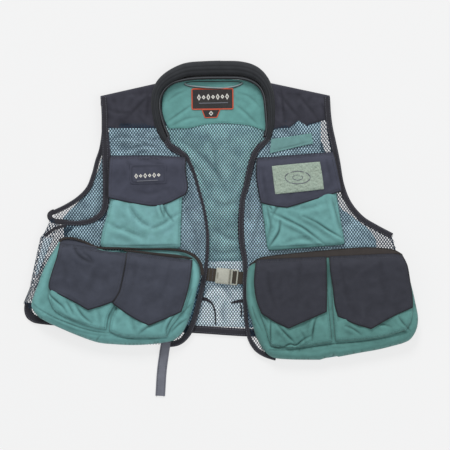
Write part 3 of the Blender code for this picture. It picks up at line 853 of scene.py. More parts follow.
HEM = cr([(28, 303), (27.4, 311), (31, 317.5), (44, 321), (100, 325), (192, 329.5), (247, 333), (320, 335),
          (385, 333), (404, 328)])
HINGE_L = np.array([(59.0, 243.0), (193.0, 260.0)])
HINGE_R = np.array([(256.0, 259.5), (401.0, 253.0)])


def from_line(P, line):
    """(along, away) of points from a hinge line, away towards the hem."""
    t = (line[1] - line[0]) / np.linalg.norm(line[1] - line[0])
    n = np.array([-t[1], t[0]])
    d = np.asarray(P, float) - line[0]
    return d @ t, d @ n


# ------------------------------------------------------------------ heights
def hem_y(P):
    return np.interp(P[:, 0], HEM[:, 0], HEM[:, 1])


def z_back(P):
    """The back panel, a little rumpled where nothing lies on it."""
    free = np.exp(-((P[:, 0] - 222) / 34) ** 2) * smooth(122, 140, P[:, 1]) * (1 - smooth(298, 318, P[:, 1]))
    z = 3.9 + free * (1.2 + 0.9 * waves(P, 34, 3) + crumple(P, 1.3, 61))
    for line, d, w in (([(184, 150), (205, 165), (222, 180)], 0.9, 4.0), ([(215, 150), (230, 168), (238, 190)], 0.8, 4.0),
                       ([(207, 190), (220, 205), (236, 214)], 0.9, 4.0), ([(211, 235), (224, 240), (238, 234)], 0.8, 3.5),
                       ([(212, 299), (214, 305), (217, 325)], 1.0, 1.6), ([(236, 303), (242, 302), (248, 302)], 1.0, 1.6)):
        z = z + free * crease(P, line, d, w)
    return np.maximum(z, 3.6)


def z_cargo(P):
    return z_back(P) - 1.5 + 0.7 * (1 - smooth(124, 134, P[:, 1]))


def front_base(P, side):
    """The height of a front panel's cloth."""
    line = FRONT_L if side == "L" else FRONT_R
    d, s, _ = near(P, line)
    dip = 3.2 * np.exp(-(d / 10.0) ** 2) * smooth(0.02, 0.16, s)
    if side == "R":     # room for the buckle's plug to draw back under the edge
        dip = dip * (1 - np.exp(-((P[:, 1] - 277) / 16.0) ** 4)) - 0.5 * np.exp(-((P[:, 1] - 277) / 16.0) ** 4) * np.exp(-(d / 14.0) ** 2)
    z = 16.6 - dip
    below = smooth(-4, 8, P[:, 1] - hem_y(P))
    z = z - (z - 8.5) * smooth(298, 330, P[:, 1]) * 0.72 * np.exp(-(d / 40.0) ** 2)
    z = z - (z - 6.5) * below * 0.6
    return z


UPPER_L = [([(166, 139), (158, 138), (150, 141)], 1.5, 1.7), ([(112, 139), (126, 138), (140, 140)], 0.9, 2.0),
           ([(126, 150), (140, 146), (160, 147)], 1.6, 1.8), ([(112, 146), (122, 147), (130, 146)], 0.8, 2.0),
           ([(134, 153), (150, 151), (170, 152)], 1.4, 1.6), ([(186, 205), (196, 225), (204, 240)], 1.0, 2.5),
           ([(190, 196), (188, 215), (184, 238)], 0.8, 2.4)]
UPPER_R = [([(275, 152), (290, 148), (318, 146)], 0.8, 2.0), ([(246, 205), (252, 222), (262, 240)], 0.9, 2.4),
           ([(254, 190), (250, 210), (248, 236)], 0.8, 2.4), ([(345, 205), (362, 222), (384, 238)], 0.9, 2.6),
           ([(352, 225), (366, 236), (380, 246)], 0.8, 2.4)]


def z_front_l(P):
    z = front_base(P, "L") + crumple(P, 1.0, 11) * (1 - 0.7 * smooth(240, 262, P[:, 1]))
    calm = 1 - 0.8 * smooth(240, 260, P[:, 1])
    for line, d, w in UPPER_L:
        z = z + calm * crease(P, line, d, w)
    return z


def z_front_r(P):
    z = front_base(P, "R") + crumple(P, 1.0, 15) * (1 - 0.7 * smooth(240, 262, P[:, 1]))
    calm = 1 - 0.8 * smooth(240, 260, P[:, 1])
    for line, d, w in UPPER_R:
        z = z + calm * crease(P, line, d, w)
    return z


def dome(d, R, power=2.2):
    q = np.clip(d / R, 0, 1)
    return (1 - (1 - q) ** power) ** (1 / power)


# ------------------------------------------------------------------ camera, light and floor
scene = bpy.context.scene
scene.view_settings.view_transform = "Standard"
cam = bpy.data.objects.new("camera", bpy.data.cameras.new("camera"))
scene.collection.objects.link(cam)
cam.location = (X(225), Y(225), 6.0)
cam.data.sensor_width = 36.0
cam.data.lens = 36.0 * 5.975 / (450 * U)
cam.data.clip_end = 50
scene.camera = cam

floor_m = Mat("floor")
floor_m.done(floor_m.ramp(floor_m.noise(3.0), [(0.0, (0.155, 0.155, 0.155, 1)), (1.0, (0.165, 0.165, 0.165, 1))]),
             0.9, 0.0, 0.0)
floor_m.b.inputs["Emission Color"].default_value = (1, 1, 1, 1)
floor_m.b.inputs["Emission Strength"].default_value = 0.73
fl = bpy.data.meshes.new("floor")
fl.from_pydata([(-4, -4, -0.0006), (4, -4, -0.0006), (4, 4, -0.0006), (-4, 4, -0.0006)], [], [(0, 1, 2, 3)])
fl.materials.append(floor_m.m)
floor_ob = bpy.data.objects.new("floor", fl)
scene.collection.objects.link(floor_ob)

world_ = bpy.data.worlds.new("studio")
world_.use_nodes = True
world_.node_tree.nodes["Background"].inputs["Color"].default_value = (0.96, 0.98, 1.0, 1)
world_.node_tree.nodes["Background"].inputs["Strength"].default_value = 0.50
scene.world = world_


def area_light(name, loc, size, power, at=(0, 0, 0)):
    d = bpy.data.lights.new(name, "AREA")
    d.shape, d.size, d.energy = "SQUARE", size, power
    ob = bpy.data.objects.new(name, d)
    ob.location = loc
    ob.rotation_euler = (Vector(at) - Vector(loc)).to_track_quat("-Z", "Y").to_euler()
    scene.collection.objects.link(ob)


area_light("key", (-1.2, 6.9, 6.4), 3.0, 545)
area_light("fill", (3.0, -1.0, 5.0), 3.4, 72)

# ------------------------------------------------------------------ back of the vest
CARGO_OUT = outline([(122, 132), (126, 128)], [(126, 128), (160, 127.4), (178, 121.4), (222, 120.6), (262, 121.4), (276, 127.6), (306, 128)],
                    [(306, 128), (310, 132)],
                    [(310, 132), (313, 256)], [(313, 256), (309, 261)], [(309, 261), (123, 261)],
                    [(123, 261), (119, 256)], [(119, 256), (122, 132)], step=3)
CARGO_FOLDS = [([(176, 136), (196, 150), (214, 168), (226, 190)], 1.5, 4.0, 0.8, 0.30),
               ([(205, 130), (214, 150), (216, 175)], 1.1, 3.5, 0.8, 0.20),
               ([(186, 160), (200, 172), (207, 190)], 1.3, 3.5, 0.8, 0.25),
               ([(209, 196), (222, 204), (240, 200)], 1.0, 4.0, 0.7, 0.22),
               ([(212, 226), (226, 236), (240, 240)], 1.3, 3.5, 0.8, 0.30),
               ([(208, 248), (222, 252), (240, 250)], 1.0, 3.0, 0.7, 0.22)]
sheet("cargo_inner", CARGO_OUT, z_cargo, CARGO, "back", step=3.0, thick=0.8, folds=CARGO_FOLDS, slot="teal_nylon",
      replaces=["back_cargo_pocket"])
sheet("back_lining_left", np.vstack([resample(np.array([(62, 218), (84, 195.5), (97, 172), (104, 150), (106, 132),
                                                         (121.4, 131.6), (118.6, 254), (118.6, 317), (96, 312),
                                                         (72, 306), (56, 300), (54, 280), (58, 256), (64, 240),
                                                         (62, 218)]), 3)[:-1]]),
      lambda P: z_back(P) - 1.0, FINE_NET, "back", step=3.0, thick=0.5, slot="mesh", rests=["back_net_upper"])
sheet("back_lining_right", resample(np.array([(311.2, 132), (318, 132), (325, 150), (331, 180), (338, 205), (352, 222),
                                              (368, 236), (380, 252), (392, 270), (397, 298), (372, 308), (342, 314),
                                              (309.6, 318), (309.6, 262), (313.8, 256), (311.2, 132)]), 3)[:-1],
      lambda P: z_back(P) - 1.0, FINE_NET, "back", step=3.0, thick=0.5, slot="mesh", rests=["back_net_upper"])
sheet("back_lining_lower", np.array([(119.4, 261.3), (308.6, 261.3), (308.6, 322), (250, 328), (192, 325.5), (119.4, 320)]),
      lambda P: z_back(P) - 0.9, PALE_NET, "back", step=3.0, thick=0.5, slot="mesh", rests=["back_net_lower"],
      folds=[([(208, 262), (222, 284), (238, 306)], 0.9, 3.0, 0.4, 0.14), ([(196, 300), (206, 290), (220, 284)], 0.8, 3.0, 0.4, 0.14),
             ([(226, 300), (222, 312), (226, 324)], 0.8, 2.6, 0.4, 0.12)])
sheet("cargo_outer", CARGO_OUT + (0, 0), lambda P: np.full(len(P), 0.6), TEAL, "back", step=6.0, thick=0.8,
      slot="teal_nylon")
BACK_YOKE = outline([(104, 100), (150, 88), (165, 83)], [(165, 83), (262, 83)], [(262, 83), (278, 88), (326, 100)],
                    [(326, 100), (325.6, 114)], [(325.6, 114), (306, 116.5), (288, 121), (276, 128)], [(276, 128), (105, 127.4)], [(105, 127.4), (104, 100)], step=3)
sheet("back_yoke_cloth", BACK_YOKE, lambda P: 1.9 + 0.3 * waves(P, 40, 21), YOKE, "back", step=4, thick=1.1,
      slot="charcoal_nylon", replaces=["back_yoke"])

B_ARM_L, B_ARM_R = offset(BACK_ARM_L, -1.6), offset(BACK_ARM_R, 1.6)
BACK_OUT = np.vstack([
    resample(np.array([(106, 100), (152, 87), (166, 82.5), (201, 81), (238, 81), (262, 82.5), (274, 87), (324, 100)]), 2),
    B_ARM_R, resample(np.array([(391, 236), (393.5, 250), (401.5, 270), (407, 295), (406, 324)]), 2),
    offset(HEM, -2.0)[::-1][2:-2],
    resample(np.array([(31, 306), (33.5, 300), (36.5, 280), (41.5, 258), (46.5, 240), (54, 224)]), 2), B_ARM_L[::-1]])
def z_net_back(P):
    return z_back(P) + fold_parts(P, CARGO_FOLDS)[0]


net("back_net_upper", BACK_OUT, z_net_back, NETTING, "back", keep=lambda C: C[:, 1] < 214, slot="mesh",
    replaces=["back_mesh"])
net("back_net_lower", BACK_OUT, z_net_back, NETTING, "back", keep=lambda C: C[:, 1] >= 214, hole=0.735, slot="mesh")


def z_hem(Q):
    return np.full(len(Q), 3.4) + 0.5 * waves(Q, 30, 8)


def tape(name, line, z, half, t, mat, body, width=None, stitch=None, step=1.5, row=0.62, **kw):
    """A strip of tape on edge-to-edge line: half is its half width in squares, t its thickness in mm."""
    Q = resample(np.asarray(line, float), step)
    h = z(Q) if callable(z) else np.broadcast_to(z, len(Q))
    s = np.linspace(0, 1, len(Q))
    k = np.ones(len(Q)) if width is None else width(s)
    ob = sweep(name, world(Q, h), tape_section(half * U, t * 0.001), mat, body,
               scale=np.column_stack([k, np.ones(len(Q))]), **kw)
    if stitch is not None:
        for sd in (-1, 1):
            L = Q + np.gradient(Q, axis=0)[:, ::-1] * (-1, 1) / np.maximum(
                np.linalg.norm(np.gradient(Q, axis=0), axis=1), 1e-9)[:, None] * (half * row * k * sd)[:, None]
            hh = h + t * 0.5
            stitches(body, stitch, L, lambda R, L=L, hh=hh: np.interp(
                near(R, L)[1], np.linspace(0, 1, len(hh)), hh))
    return ob


tape("hem_tape", HEM, z_hem, 3.9, 3.6, BINDING, "back", stitch=THREAD_G, slot="binding",
     replaces=["back_hem_binding"])
tape("back_armhole_tape_left", BACK_ARM_L, lambda Q: 6.3 + 0.4 * waves(Q, 26, 31), 2.3, 3.0, BINDING, "back",
     stitch=THREAD_G, slot="binding", replaces=["armhole_binding_back_left"])
tape("back_armhole_tape_right", BACK_ARM_R, lambda Q: 6.3 + 0.4 * waves(Q, 26, 32), 2.3, 3.0, BINDING, "back",
     stitch=THREAD_G, slot="binding", replaces=["armhole_binding_back_right"])
# two seams that run down the lower back
BSL = cr([(196, 296), (201, 298.6), (207, 300), (212, 304), (215, 312), (215.5, 325)])
tape("back_seam_left", BSL, lambda Q: z_back(Q) + 0.7, 0.8, 1.0, BINDING, "back",
     width=lambda s_: np.interp(s_, [0, 0.25, 0.45, 1], [2.6, 2.2, 1.2, 0.8]), slot="binding")
tape("back_seam_right", cr([(231, 303.5), (236, 302), (242, 301.2), (250, 302)]), lambda Q: z_back(Q) + 0.7, 1.2, 1.0,
     BINDING, "back", width=lambda s_: np.interp(s_, [0, 0.3, 1], [0.7, 1.2, 1.5]), slot="binding")
tape("back_seam_right_down", cr([(240, 303.5), (241.4, 309), (241, 317)]), lambda Q: z_back(Q) + 0.7, 0.7, 1.0,
     BINDING, "back", slot="binding")

# ------------------------------------------------------------------ neck
LINING = outline([(168.5, 128), (164, 118), (162, 108), (163, 96), (168, 88), (178, 82), (190, 79.6), (222, 79),
                  (240, 79.6), (253, 82), (262, 88), (265, 98), (266, 110), (266, 122), (266, 131)],
                 [(266, 131), (256, 127), (244, 124.3), (221, 122.7), (203, 124.5), (190, 127.5), (180, 128),
                  (168.5, 128)], step=1.6)


def z_lining(P):
    return 5.5 + crumple(P, 0.8, 41, 1.3) + 0.9 * smooth(100, 84, P[:, 1])


LINING_FOLDS = [([(166, 122), (180, 112), (192, 104)], 0.7, 1.8, 0.8, 0.30),
                ([(170, 126), (186, 118), (200, 116)], 0.6, 1.8, 0.8, 0.22),
                ([(236, 104), (246, 112), (258, 124)], 0.6, 1.8, 0.8, 0.25),
                ([(238, 92), (250, 96), (260, 106)], 0.5, 1.8, 0.8, 0.2),
                ([(168, 100), (176, 94), (186, 90)], 0.5, 1.6, 0.8, 0.2)]
sheet("neck_lining_cloth", LINING, z_lining, NECK_TEAL, "back", step=1.6, thick=0.8, folds=LINING_FOLDS,
      slot="teal_nylon", replaces=["neck_lining"], rests=["back_net_upper"])
stitches("back", THREAD_T, cr([(180, 126.4), (190, 126), (203, 123), (221, 121.2), (244, 122.8), (256, 125.4),
                               (264, 129)]), z_lining, lift=0.5)


def rect(cx, cy, w, h, ang, r=0.8, step=1.0):
    """A rounded rectangle on the pattern grid, turned by ang degrees."""
    pts = []
    for qx, qy, a0 in ((w / 2 - r, -h / 2 + r, -90), (w / 2 - r, h / 2 - r, 0), (-w / 2 + r, h / 2 - r, 90),
                       (-w / 2 + r, -h / 2 + r, 180)):
        for a in (0, 30, 60, 90):
            t = math.radians(a0 + a)
            pts.append((qx + r * math.cos(t), qy + r * math.sin(t)))
    P = resample(np.array(pts + pts[:1]), step)[:-1]
    a = math.radians(ang)
    return np.column_stack([cx + P[:, 0] * math.cos(a) - P[:, 1] * math.sin(a),
                            cy + P[:, 0] * math.sin(a) + P[:, 1] * math.cos(a)])


def patch_z(base, up):
    return lambda P: base(P) + up


label_base = patch_z(z_lining, 1.0)
sheet("neck_label_cloth", rect(212.4, 98.6, 41, 20.4, -0.6), label_base, BLACKISH, "back", step=1.6, thick=0.7,
      slot="label", replaces=["neck_label"], rests=["neck_lining_cloth"])
TAG = outline([(202, 109.4), (220, 109.0)], [(220, 109.0), (216.8, 117.0)], [(216.8, 117.0), (205, 117.4)],
              [(205, 117.4), (202, 109.4)], step=1.0)
sheet("size_tag_cloth", TAG, label_base, BLACKISH, "back", step=1.4, thick=0.7, slot="label", replaces=["size_tag"],
      rests=["neck_lining_cloth"])


def trim(name, loop, z, r, mat, body, slot=None, flat=0.7, step=0.9):
    """A thin raised line of stitching round a closed loop."""
    Q = resample(np.vstack([loop, loop[:1]]), step)[:-1]
    sec = np.array([(r * U * math.cos(a), r * U * flat * math.sin(a)) for a in np.linspace(0, 2 * PI, 9)[:-1]])
    return sweep(name, world(Q, z(Q)), sec, mat, body, closed=True, slot=slot)


trim("neck_label_border", rect(212.4, 98.6, 41, 20.4, -0.6), patch_z(label_base, 0.5), 0.62, BORDER, "back", "label")
trim("size_tag_border", TAG, patch_z(label_base, 0.5), 0.5, BORDER, "back", "label")


def chevrons(name, cx, cy, w, h, n, ang, z, mat, body, slot, stroke=0.9):
    """A plain woven motif: a row of small lozenges."""
    V, F = [], []
    a = math.radians(ang)
    pitch = w / n
    for k in range(n):
        x0 = -w / 2 + (k + 0.5) * pitch
        hx, hy = pitch * 0.40, h / 2 * (1.0 if k % 2 == 0 else 0.68)
        ring = [(x0, -hy), (x0 + hx, 0), (x0, hy), (x0 - hx, 0)]
        inner = [(x0, -hy + stroke * 1.3), (x0 + hx - stroke, 0), (x0, hy - stroke * 1.3), (x0 - hx + stroke, 0)]
        solid = hx <= stroke * 1.2
        P2 = np.array(ring + ([] if solid else inner))
        Q = np.column_stack([cx + P2[:, 0] * math.cos(a) - P2[:, 1] * math.sin(a),
                             cy + P2[:, 0] * math.sin(a) + P2[:, 1] * math.cos(a)])
        zz = z(Q)
        o = len(V)
        m = len(Q)
        V += world(Q, zz + 0.45).tolist() + world(Q, zz - 0.1).tolist()
        if solid:
            F.append([o + 3, o + 2, o + 1, o])
            F.append([o + m, o + m + 1, o + m + 2, o + m + 3])
            for i in range(4):
                j = (i + 1) % 4
                F.append([o + i, o + j, o + m + j, o + m + i])
        else:
            for i in range(4):
                j = (i + 1) % 4
                F.append([o + i, o + 4 + i, o + 4 + j, o + j])
                F.append([o + m + j, o + m + 4 + j, o + m + 4 + i, o + m + i])
                F.append([o + i, o + j, o + m + j, o + m + i])
                F.append([o + 4 + j, o + 4 + i, o + m + 4 + i, o + m + 4 + j])
    return make(name, V, F, mat, body, slot=slot, sharp=30)


chevrons("neck_label_motif", 213, 96.6, 33, 6.4, 7, -2.0, patch_z(label_base, 0.35), PALE, "back", "label", 1.1)
tape("neck_label_line", np.array([(199, 102.9), (228, 102.3)]), patch_z(label_base, 0.5), 0.38, 0.5, GREYISH, "back",
     slot="label")
chevrons("size_tag_motif", 211, 113, 5.4, 5.0, 1, 0, patch_z(label_base, 0.35), PALE, "back", "label", 1.0)

LOOP = cr([(184.6, 83.0), (187.5, 84.6), (196, 86.0), (208, 87.0), (222, 87.4), (233, 86.2), (239.5, 84.2),
           (242.6, 82.2)], 1.0)
loop_z = 8.2 + 0.5 * np.sin(np.linspace(0, PI, len(LOOP)))
loop3 = world(LOOP, loop_z)
ring12 = np.array([(0.00135 * math.cos(a), 0.00105 * math.sin(a)) for a in np.linspace(0, 2 * PI, 13)[:-1]])
loop_ob = sweep("hang_loop_cord", loop3, ring12, CORDMAT, "back", slot="cord", replaces=["hang_loop"])
LOOP2 = offset(LOOP, 1.05)
dark6 = np.array([(0.0007 * math.cos(a), 0.0007 * math.sin(a)) for a in np.linspace(0, 2 * PI, 9)[:-1]])
loop_dark = sweep("hang_loop_edge", world(LOOP2, loop_z - 0.1), dark6, BLACKISH, "back", slot="cord")
LOOP3 = cr([(184.6, 83.0), (190, 81.6), (200, 81.2), (222, 81.2), (234, 81.0), (242.6, 82.2)], 1.0)
loop_back = sweep("hang_loop_return", world(LOOP3, 7.3), dark6 * 1.2, BLACKISH, "back", slot="cord")

# ------------------------------------------------------------------ collar
OUTER = [(169.0, 146.5, 14.0, 2.5, 3.0), (165.6, 141, 14.4, 2.9, 4.6), (161.6, 134, 15.2, 3.2, 7.4),
         (157.6, 123, 16.2, 3.4, 9.4), (155.2, 111, 16.9, 3.6, 10.0), (154.9, 101, 17.2, 3.9, 10.4),
         (156.8, 91.5, 17.3, 4.5, 10.6), (161.6, 83.2, 17.4, 5.2, 10.7), (171.3, 75.6, 17.4, 6.1, 10.8),
         (186, 69.6, 15.5, 6.9, 11.2), (204, 68, 14.5, 7.2, 11.3), (222, 67.6, 14.5, 7.2, 11.3),
         (240, 68.2, 14.5, 7.2, 11.3), (253.6, 72, 15.8, 6.7, 11.2), (263.2, 80, 17.4, 5.6, 10.8),
         (269.0, 91.5, 17.3, 4.5, 10.6), (270.9, 104, 17.0, 4.0, 10.2), (271.6, 115, 16.6, 3.6, 9.6),
         (271.2, 125, 16.0, 3.2, 8.4), (269.9, 133, 15.2, 2.9, 6.4), (266.6, 140.4, 14.4, 2.7, 4.4),
         (259.8, 146.4, 14.0, 2.5, 3.0)]
INNER = [(168.6, 137, 11.8, 1.5, 5.2), (163.4, 124, 12.6, 1.6, 6.2), (160.2, 112, 13.3, 1.6, 6.8),
         (159.4, 103, 13.3, 1.6, 6.8), (160.9, 95.5, 13.3, 1.6, 6.8), (165.2, 88.2, 13.3, 1.6, 6.8),
         (173.6, 82.2, 13.3, 1.6, 6.8), (189, 78.6, 13.3, 1.7, 6.8), (204, 77.6, 13.3, 1.7, 6.8),
         (222, 77.3, 13.3, 1.7, 6.8), (240, 77.8, 13.3, 1.7, 6.8), (250.5, 80.4, 13.3, 1.7, 6.8),
         (259.2, 86.2, 13.3, 1.6, 6.8), (263.9, 95.0, 13.3, 1.6, 6.8), (265.6, 107, 13.3, 1.6, 6.8),
         (266.6, 119, 12.9, 1.6, 6.4), (267.0, 127, 12.4, 1.5, 5.8), (265.4, 135.5, 11.8, 1.4, 5.0)]


def collar(name, path, lobes, bump, mat, body, side, n=34, slot="collar_cloth", replaces=(), seed=1, step=1.5):
    """Half of the padded collar: an elliptical roll with sewn channels running round the neck."""
    C = cr(path, step)
    mid = int(np.argmin(np.abs(C[:, 0] - 221) + (C[:, 1] > 90) * 1000))
    C = C[:mid + 1] if side == "L" else C[mid:]
    m = len(C)
    g = np.gradient(C[:, :2], axis=0)
    g = g / np.linalg.norm(g, axis=1)[:, None]
    nrm = np.column_stack([-g[:, 1], g[:, 0]])
    th = np.linspace(0, 2 * PI, n + 1)[:-1]
    wob = waves(C[:, :2], 26, seed)
    V = np.zeros((m, n, 3))
    for j, a in enumerate(th):
        u = math.cos(a)
        ch = bump * (abs(math.sin(PI * lobes * (u + 1) / 2)) ** 0.7 - 0.75)
        hw = C[:, 3] * (1 + 0.02 * wob)
        hh = C[:, 4] + ch + 0.35 * wob * math.sin(a)
        P2 = C[:, :2] + nrm * (u * hw)[:, None]
        V[:, j] = world(P2, C[:, 2] + hh * math.sin(a) * (1 if math.sin(a) > 0 else 0.96))
    # the roll narrows to its ends at the front, which are closed with flat caps
    V = V.reshape(-1, 3)
    F = []
    for i in range(m - 1):
        for j in range(n):
            l = (j + 1) % n
            F.append([i * n + j, (i + 1) * n + j, (i + 1) * n + l, i * n + l])
    F.append([j for j in range(n)])
    F.append([(m - 1) * n + j for j in range(n)][::-1])
    c = V.mean(0)
    a, b, d = V[F[0][0]], V[F[0][1]], V[F[0][2]]
    nn = np.cross(b - a, d - a)
    if np.dot(nn, a - world(C[:1, :2], C[0, 2])[0]) < 0:
        F = [f[::-1] for f in F]
    cc = np.abs(np.cos(th))
    # painted shade in the sewn channels along the top of the roll, kept in the fold attribute
    dark = np.tile(0.55 * (np.abs(np.sin(PI * lobes * (np.cos(th) + 1) / 2)) < 0.30) * (np.sin(th) > 0), m)
    ob = make(name, V, F, mat, body, slot=slot, replaces=replaces, sharp=70, fold=dark)
    return ob


collar("collar_left", OUTER, 3, 1.3, COLLAR, "blend_left", "L", replaces=["collar_roll"], seed=51)
collar("collar_right", OUTER, 3, 1.3, COLLAR, "blend_right", "R", seed=52)
collar("collar_piping_left", INNER, 1, 0.2, COLLAR, "blend_left", "L", n=16, replaces=["collar_piping"], seed=53)
collar("collar_piping_right", INNER, 1, 0.2, COLLAR, "blend_right", "R", n=16, seed=54)
OUT2, INN2 = (resample(cr([p[:2] for p in path], 1.0), 4.0) for path in (OUTER[1:-1], INNER))
INN2 = INN2[np.linspace(0, len(INN2) - 1, len(OUT2)).round().astype(int)]
GUSSET = cr(0.5 * OUT2 + 0.5 * INN2, 1.5)
gmid = int(np.argmin(np.abs(GUSSET[:, 0] - 221)))
for nm, seg, body in (("collar_gusset_left", GUSSET[:gmid + 1], "blend_left"),
                      ("collar_gusset_right", GUSSET[gmid:], "blend_right")):
    tape(nm, seg, 10.5, 3.4, 1.2, BINDING, body, slot="collar_cloth")
# a lighter line along the piping's crown: partly stitching, partly a painted highlight on the crown
for nm, side, body in (("piping_line_left", "L", "blend_left"), ("piping_line_right", "R", "blend_right")):
    C = cr(INNER, 1.2)
    mid = int(np.argmin(np.abs(C[:, 0] - 221) + (C[:, 1] > 90) * 1000))
    C = C[:mid + 1] if side == "L" else C[mid:]
    sweep(nm, world(C[:, :2], C[:, 2] + C[:, 4] - 0.1), dark6 * 0.9, PIPE_LINE, body, slot="collar_cloth")


# ------------------------------------------------------------------ shoulder yokes
def yoke(name, outer, inner_top, inner_bot, bottom, body, replaces, seed, folds):
    cols, arc, fwd = 46, 12, 34
    c = np.linspace(0, 1, cols)
    top = np.array(outer[0])[None] * (1 - c[:, None]) + np.array(inner_top)[None] * c[:, None]
    bx = outer[1][0] * (1 - c) + inner_bot[0] * c
    by = np.interp(bx, [p[0] for p in bottom], [p[1] for p in bottom])
    rows = []
    # under the shoulder, round the fold, then forward
    for dy in np.linspace(9, 2.8, 4):
        rows.append(np.column_stack([top[:, 0], top[:, 1] + dy, np.full(cols, 6.6)]))
    for a in np.linspace(-PI / 2, PI / 2, arc):
        rows.append(np.column_stack([top[:, 0], top[:, 1] + 2.4 - 2.4 * math.cos(a),
                                     np.full(cols, 11.7 + 5.1 * math.sin(a))]))
    for t in np.linspace(0.06, 1, fwd):
        x = top[:, 0] * (1 - t) + bx * t
        y = (top[:, 1] + 2.4) * (1 - t) + by * t
        rows.append(np.column_stack([x, y, np.full(cols, 16.8)]))
    G = np.array(rows)
    n = len(G)
    flat = G.reshape(-1, 3)
    k = (np.arange(n) >= 4 + arc)[:, None] * np.ones(cols)[None]
    t = np.clip((np.arange(n) - 4 - arc + 1) / fwd, 0, 1)[:, None]
    puff = np.sin(PI * np.clip(t * 1.0, 0, 1)) * np.sin(PI * c)[None]
    dz, dark = fold_parts(flat[:, :2], folds)
    z = (1.3 * puff + crumple(flat[:, :2], 2.6, seed).reshape(n, cols) * np.minimum(1, 4 * puff)
         + dz.reshape(n, cols) * np.minimum(1, 5 * t)) * k
    z -= 0.9 * smooth(0.90, 1.0, t) * k
    G[:, :, 2] += z
    # painted shade in the yoke's valleys and painted highlight on its ridges, as relief() gives for sheets
    s = np.pad(z, 1, mode="edge")
    for _ in range(9):
        c4 = 0.2 * (s[1:-1, 1:-1] + s[:-2, 1:-1] + s[2:, 1:-1] + s[1:-1, :-2] + s[1:-1, 2:])
        s = np.pad(c4, 1, mode="edge")
    painted_shading = (np.clip(0.6 * (s[1:-1, 1:-1] - z), -0.25, 0.5) * k).ravel()
    dark = np.where(dark < 0.03, painted_shading, np.maximum(dark, painted_shading))
    ob = grid_sheet(name, G, 1.2, YOKE, body, fold=(dark.reshape(n, cols) * k).ravel(), slot="charcoal_nylon",
                    replaces=replaces)
    hem = G[-3][:, :3]
    stitches(body, THREAD_D, hem[:, :2], lambda R: np.interp(near(R, hem[:, :2])[1], np.linspace(0, 1, len(hem)),
                                                             hem[:, 2]), lift=0.55)
    return ob


YOKE_L_FOLDS = [([(150, 92), (140, 104), (126, 118)], 0.9, 2.2, 0.7, 0.22),
                ([(146, 86), (148, 100), (146, 118)], 0.7, 2.0, 0.7, 0.22),
                ([(106, 108), (118, 112), (132, 112)], 0.6, 2.2, 0.7, 0.15)]
YOKE_R_FOLDS = [([(278, 92), (288, 104), (300, 118)], 1.0, 2.2, 0.7, 0.25),
                ([(281, 88), (283, 104), (284, 122)], 0.8, 1.8, 0.7, 0.25),
                ([(300, 96), (310, 108), (318, 119)], 0.8, 2.0, 0.7, 0.22),
                ([(322, 104), (325, 112), (325, 119)], 0.8, 1.8, 0.7, 0.25)]
yoke("yoke_left_cloth", [(100.3, 96), (104.6, 128.2)], (158.0, 83.0), (161.0, 128.0), [(0, 128), (500, 128)],
     "blend_left", ["shoulder_yoke_left"], 61, YOKE_L_FOLDS)
yoke("yoke_right_cloth", [(330.0, 95.6), (330.6, 121.5)], (268.5, 82.5), (269.5, 130),
     [(266, 132), (272, 130.5), (277, 128.5), (290, 127.5), (294, 124), (299, 120.3), (303, 123), (307, 125.6), (314, 123.5),
      (320, 121.5), (325, 119.5), (327, 122.5), (331, 123.5)],
     "blend_right", ["shoulder_yoke_right"], 62, YOKE_R_FOLDS)


# ------------------------------------------------------------------ front nets and their bindings
def axis_x(line, y, d=0.0):
    (x0, y0), (x1, y1) = line
    return x0 + (x1 - x0) * (y - y0) / (y1 - y0) + d


AXIS_L = ((99.0, 129.0), (27.0, 303.0))
AXIS_R = ((338.0, 129.0), (420.0, 290.0))
ARM_L2, ARM_R2 = ARM_L[ARM_L[:, 1] > 122], ARM_R[ARM_R[:, 1] > 116]
FN_L = np.vstack([
    resample(np.array([(106, 124), (130, 124), (156, 124), (161, 132), (166, 141)]), 2), FRONT_L[2:],
    cr([(150, 344.5), (138, 343.5), (109, 342), (80, 334), (52, 322), (36, 314), (27.5, 305)], 2)[0:],
    resample(np.array([(axis_x(AXIS_L, 300, 0.5), 300), (axis_x(AXIS_L, 264, 0.5), 264),
                       (axis_x(AXIS_L, 228, 0.5), 228)]), 2),
    resample(np.array([(60, 223), (64, 222)]), 2)[1:], ARM_L2[::-1][1:]])
FN_R = np.vstack([
    resample(np.array([(270, 141), (272, 124), (280, 120), (300, 117), (326, 117), (331, 116)]), 2), ARM_R2[2:],
    resample(np.array([(392, 236), (396.5, 252), (403, 267), (409, 287), (414, 308), (412, 326), (406, 338)]), 2),
    cr([(398, 341), (358, 350), (320, 357), (290, 358)], 2), FRONT_R[::-1]])
LIN_L_FOLDS = [([(109, 141), (120, 136), (134, 138), (150, 146)], 1.2, 2.4, 0.8, 0.22),
               ([(111, 150), (130, 149), (146, 145), (158, 148)], 1.0, 2.2, 0.8, 0.22),
               ([(126, 129), (140, 136), (156, 141)], 1.0, 2.4, 0.8, 0.20),
               ([(184, 160), (190, 185), (193, 208)], 1.0, 3.4, 0.8, 0.20),
               ([(187, 212), (196, 236), (200, 262)], 1.2, 3.4, 0.8, 0.22),
               ([(190, 238), (196, 254), (189, 276)], 1.0, 2.6, 0.8, 0.20)]
LIN_R_FOLDS = [([(256, 168), (251, 190), (247, 215)], 1.0, 3.2, 0.8, 0.20),
               ([(263, 203), (257, 225), (250, 248)], 1.0, 2.8, 0.8, 0.22),
               ([(274, 128), (290, 134), (312, 140)], 1.0, 2.4, 0.8, 0.16),
               ([(280, 150), (272, 138), (268, 148)], 1.0, 2.4, 0.8, 0.16)]
net("front_net_left", FN_L, lambda P: z_front_l(P) + fold_parts(P, LIN_L_FOLDS)[0], NETTING, "blend_left",
    hole=0.725, slot="mesh", replaces=["front_mesh_left"])
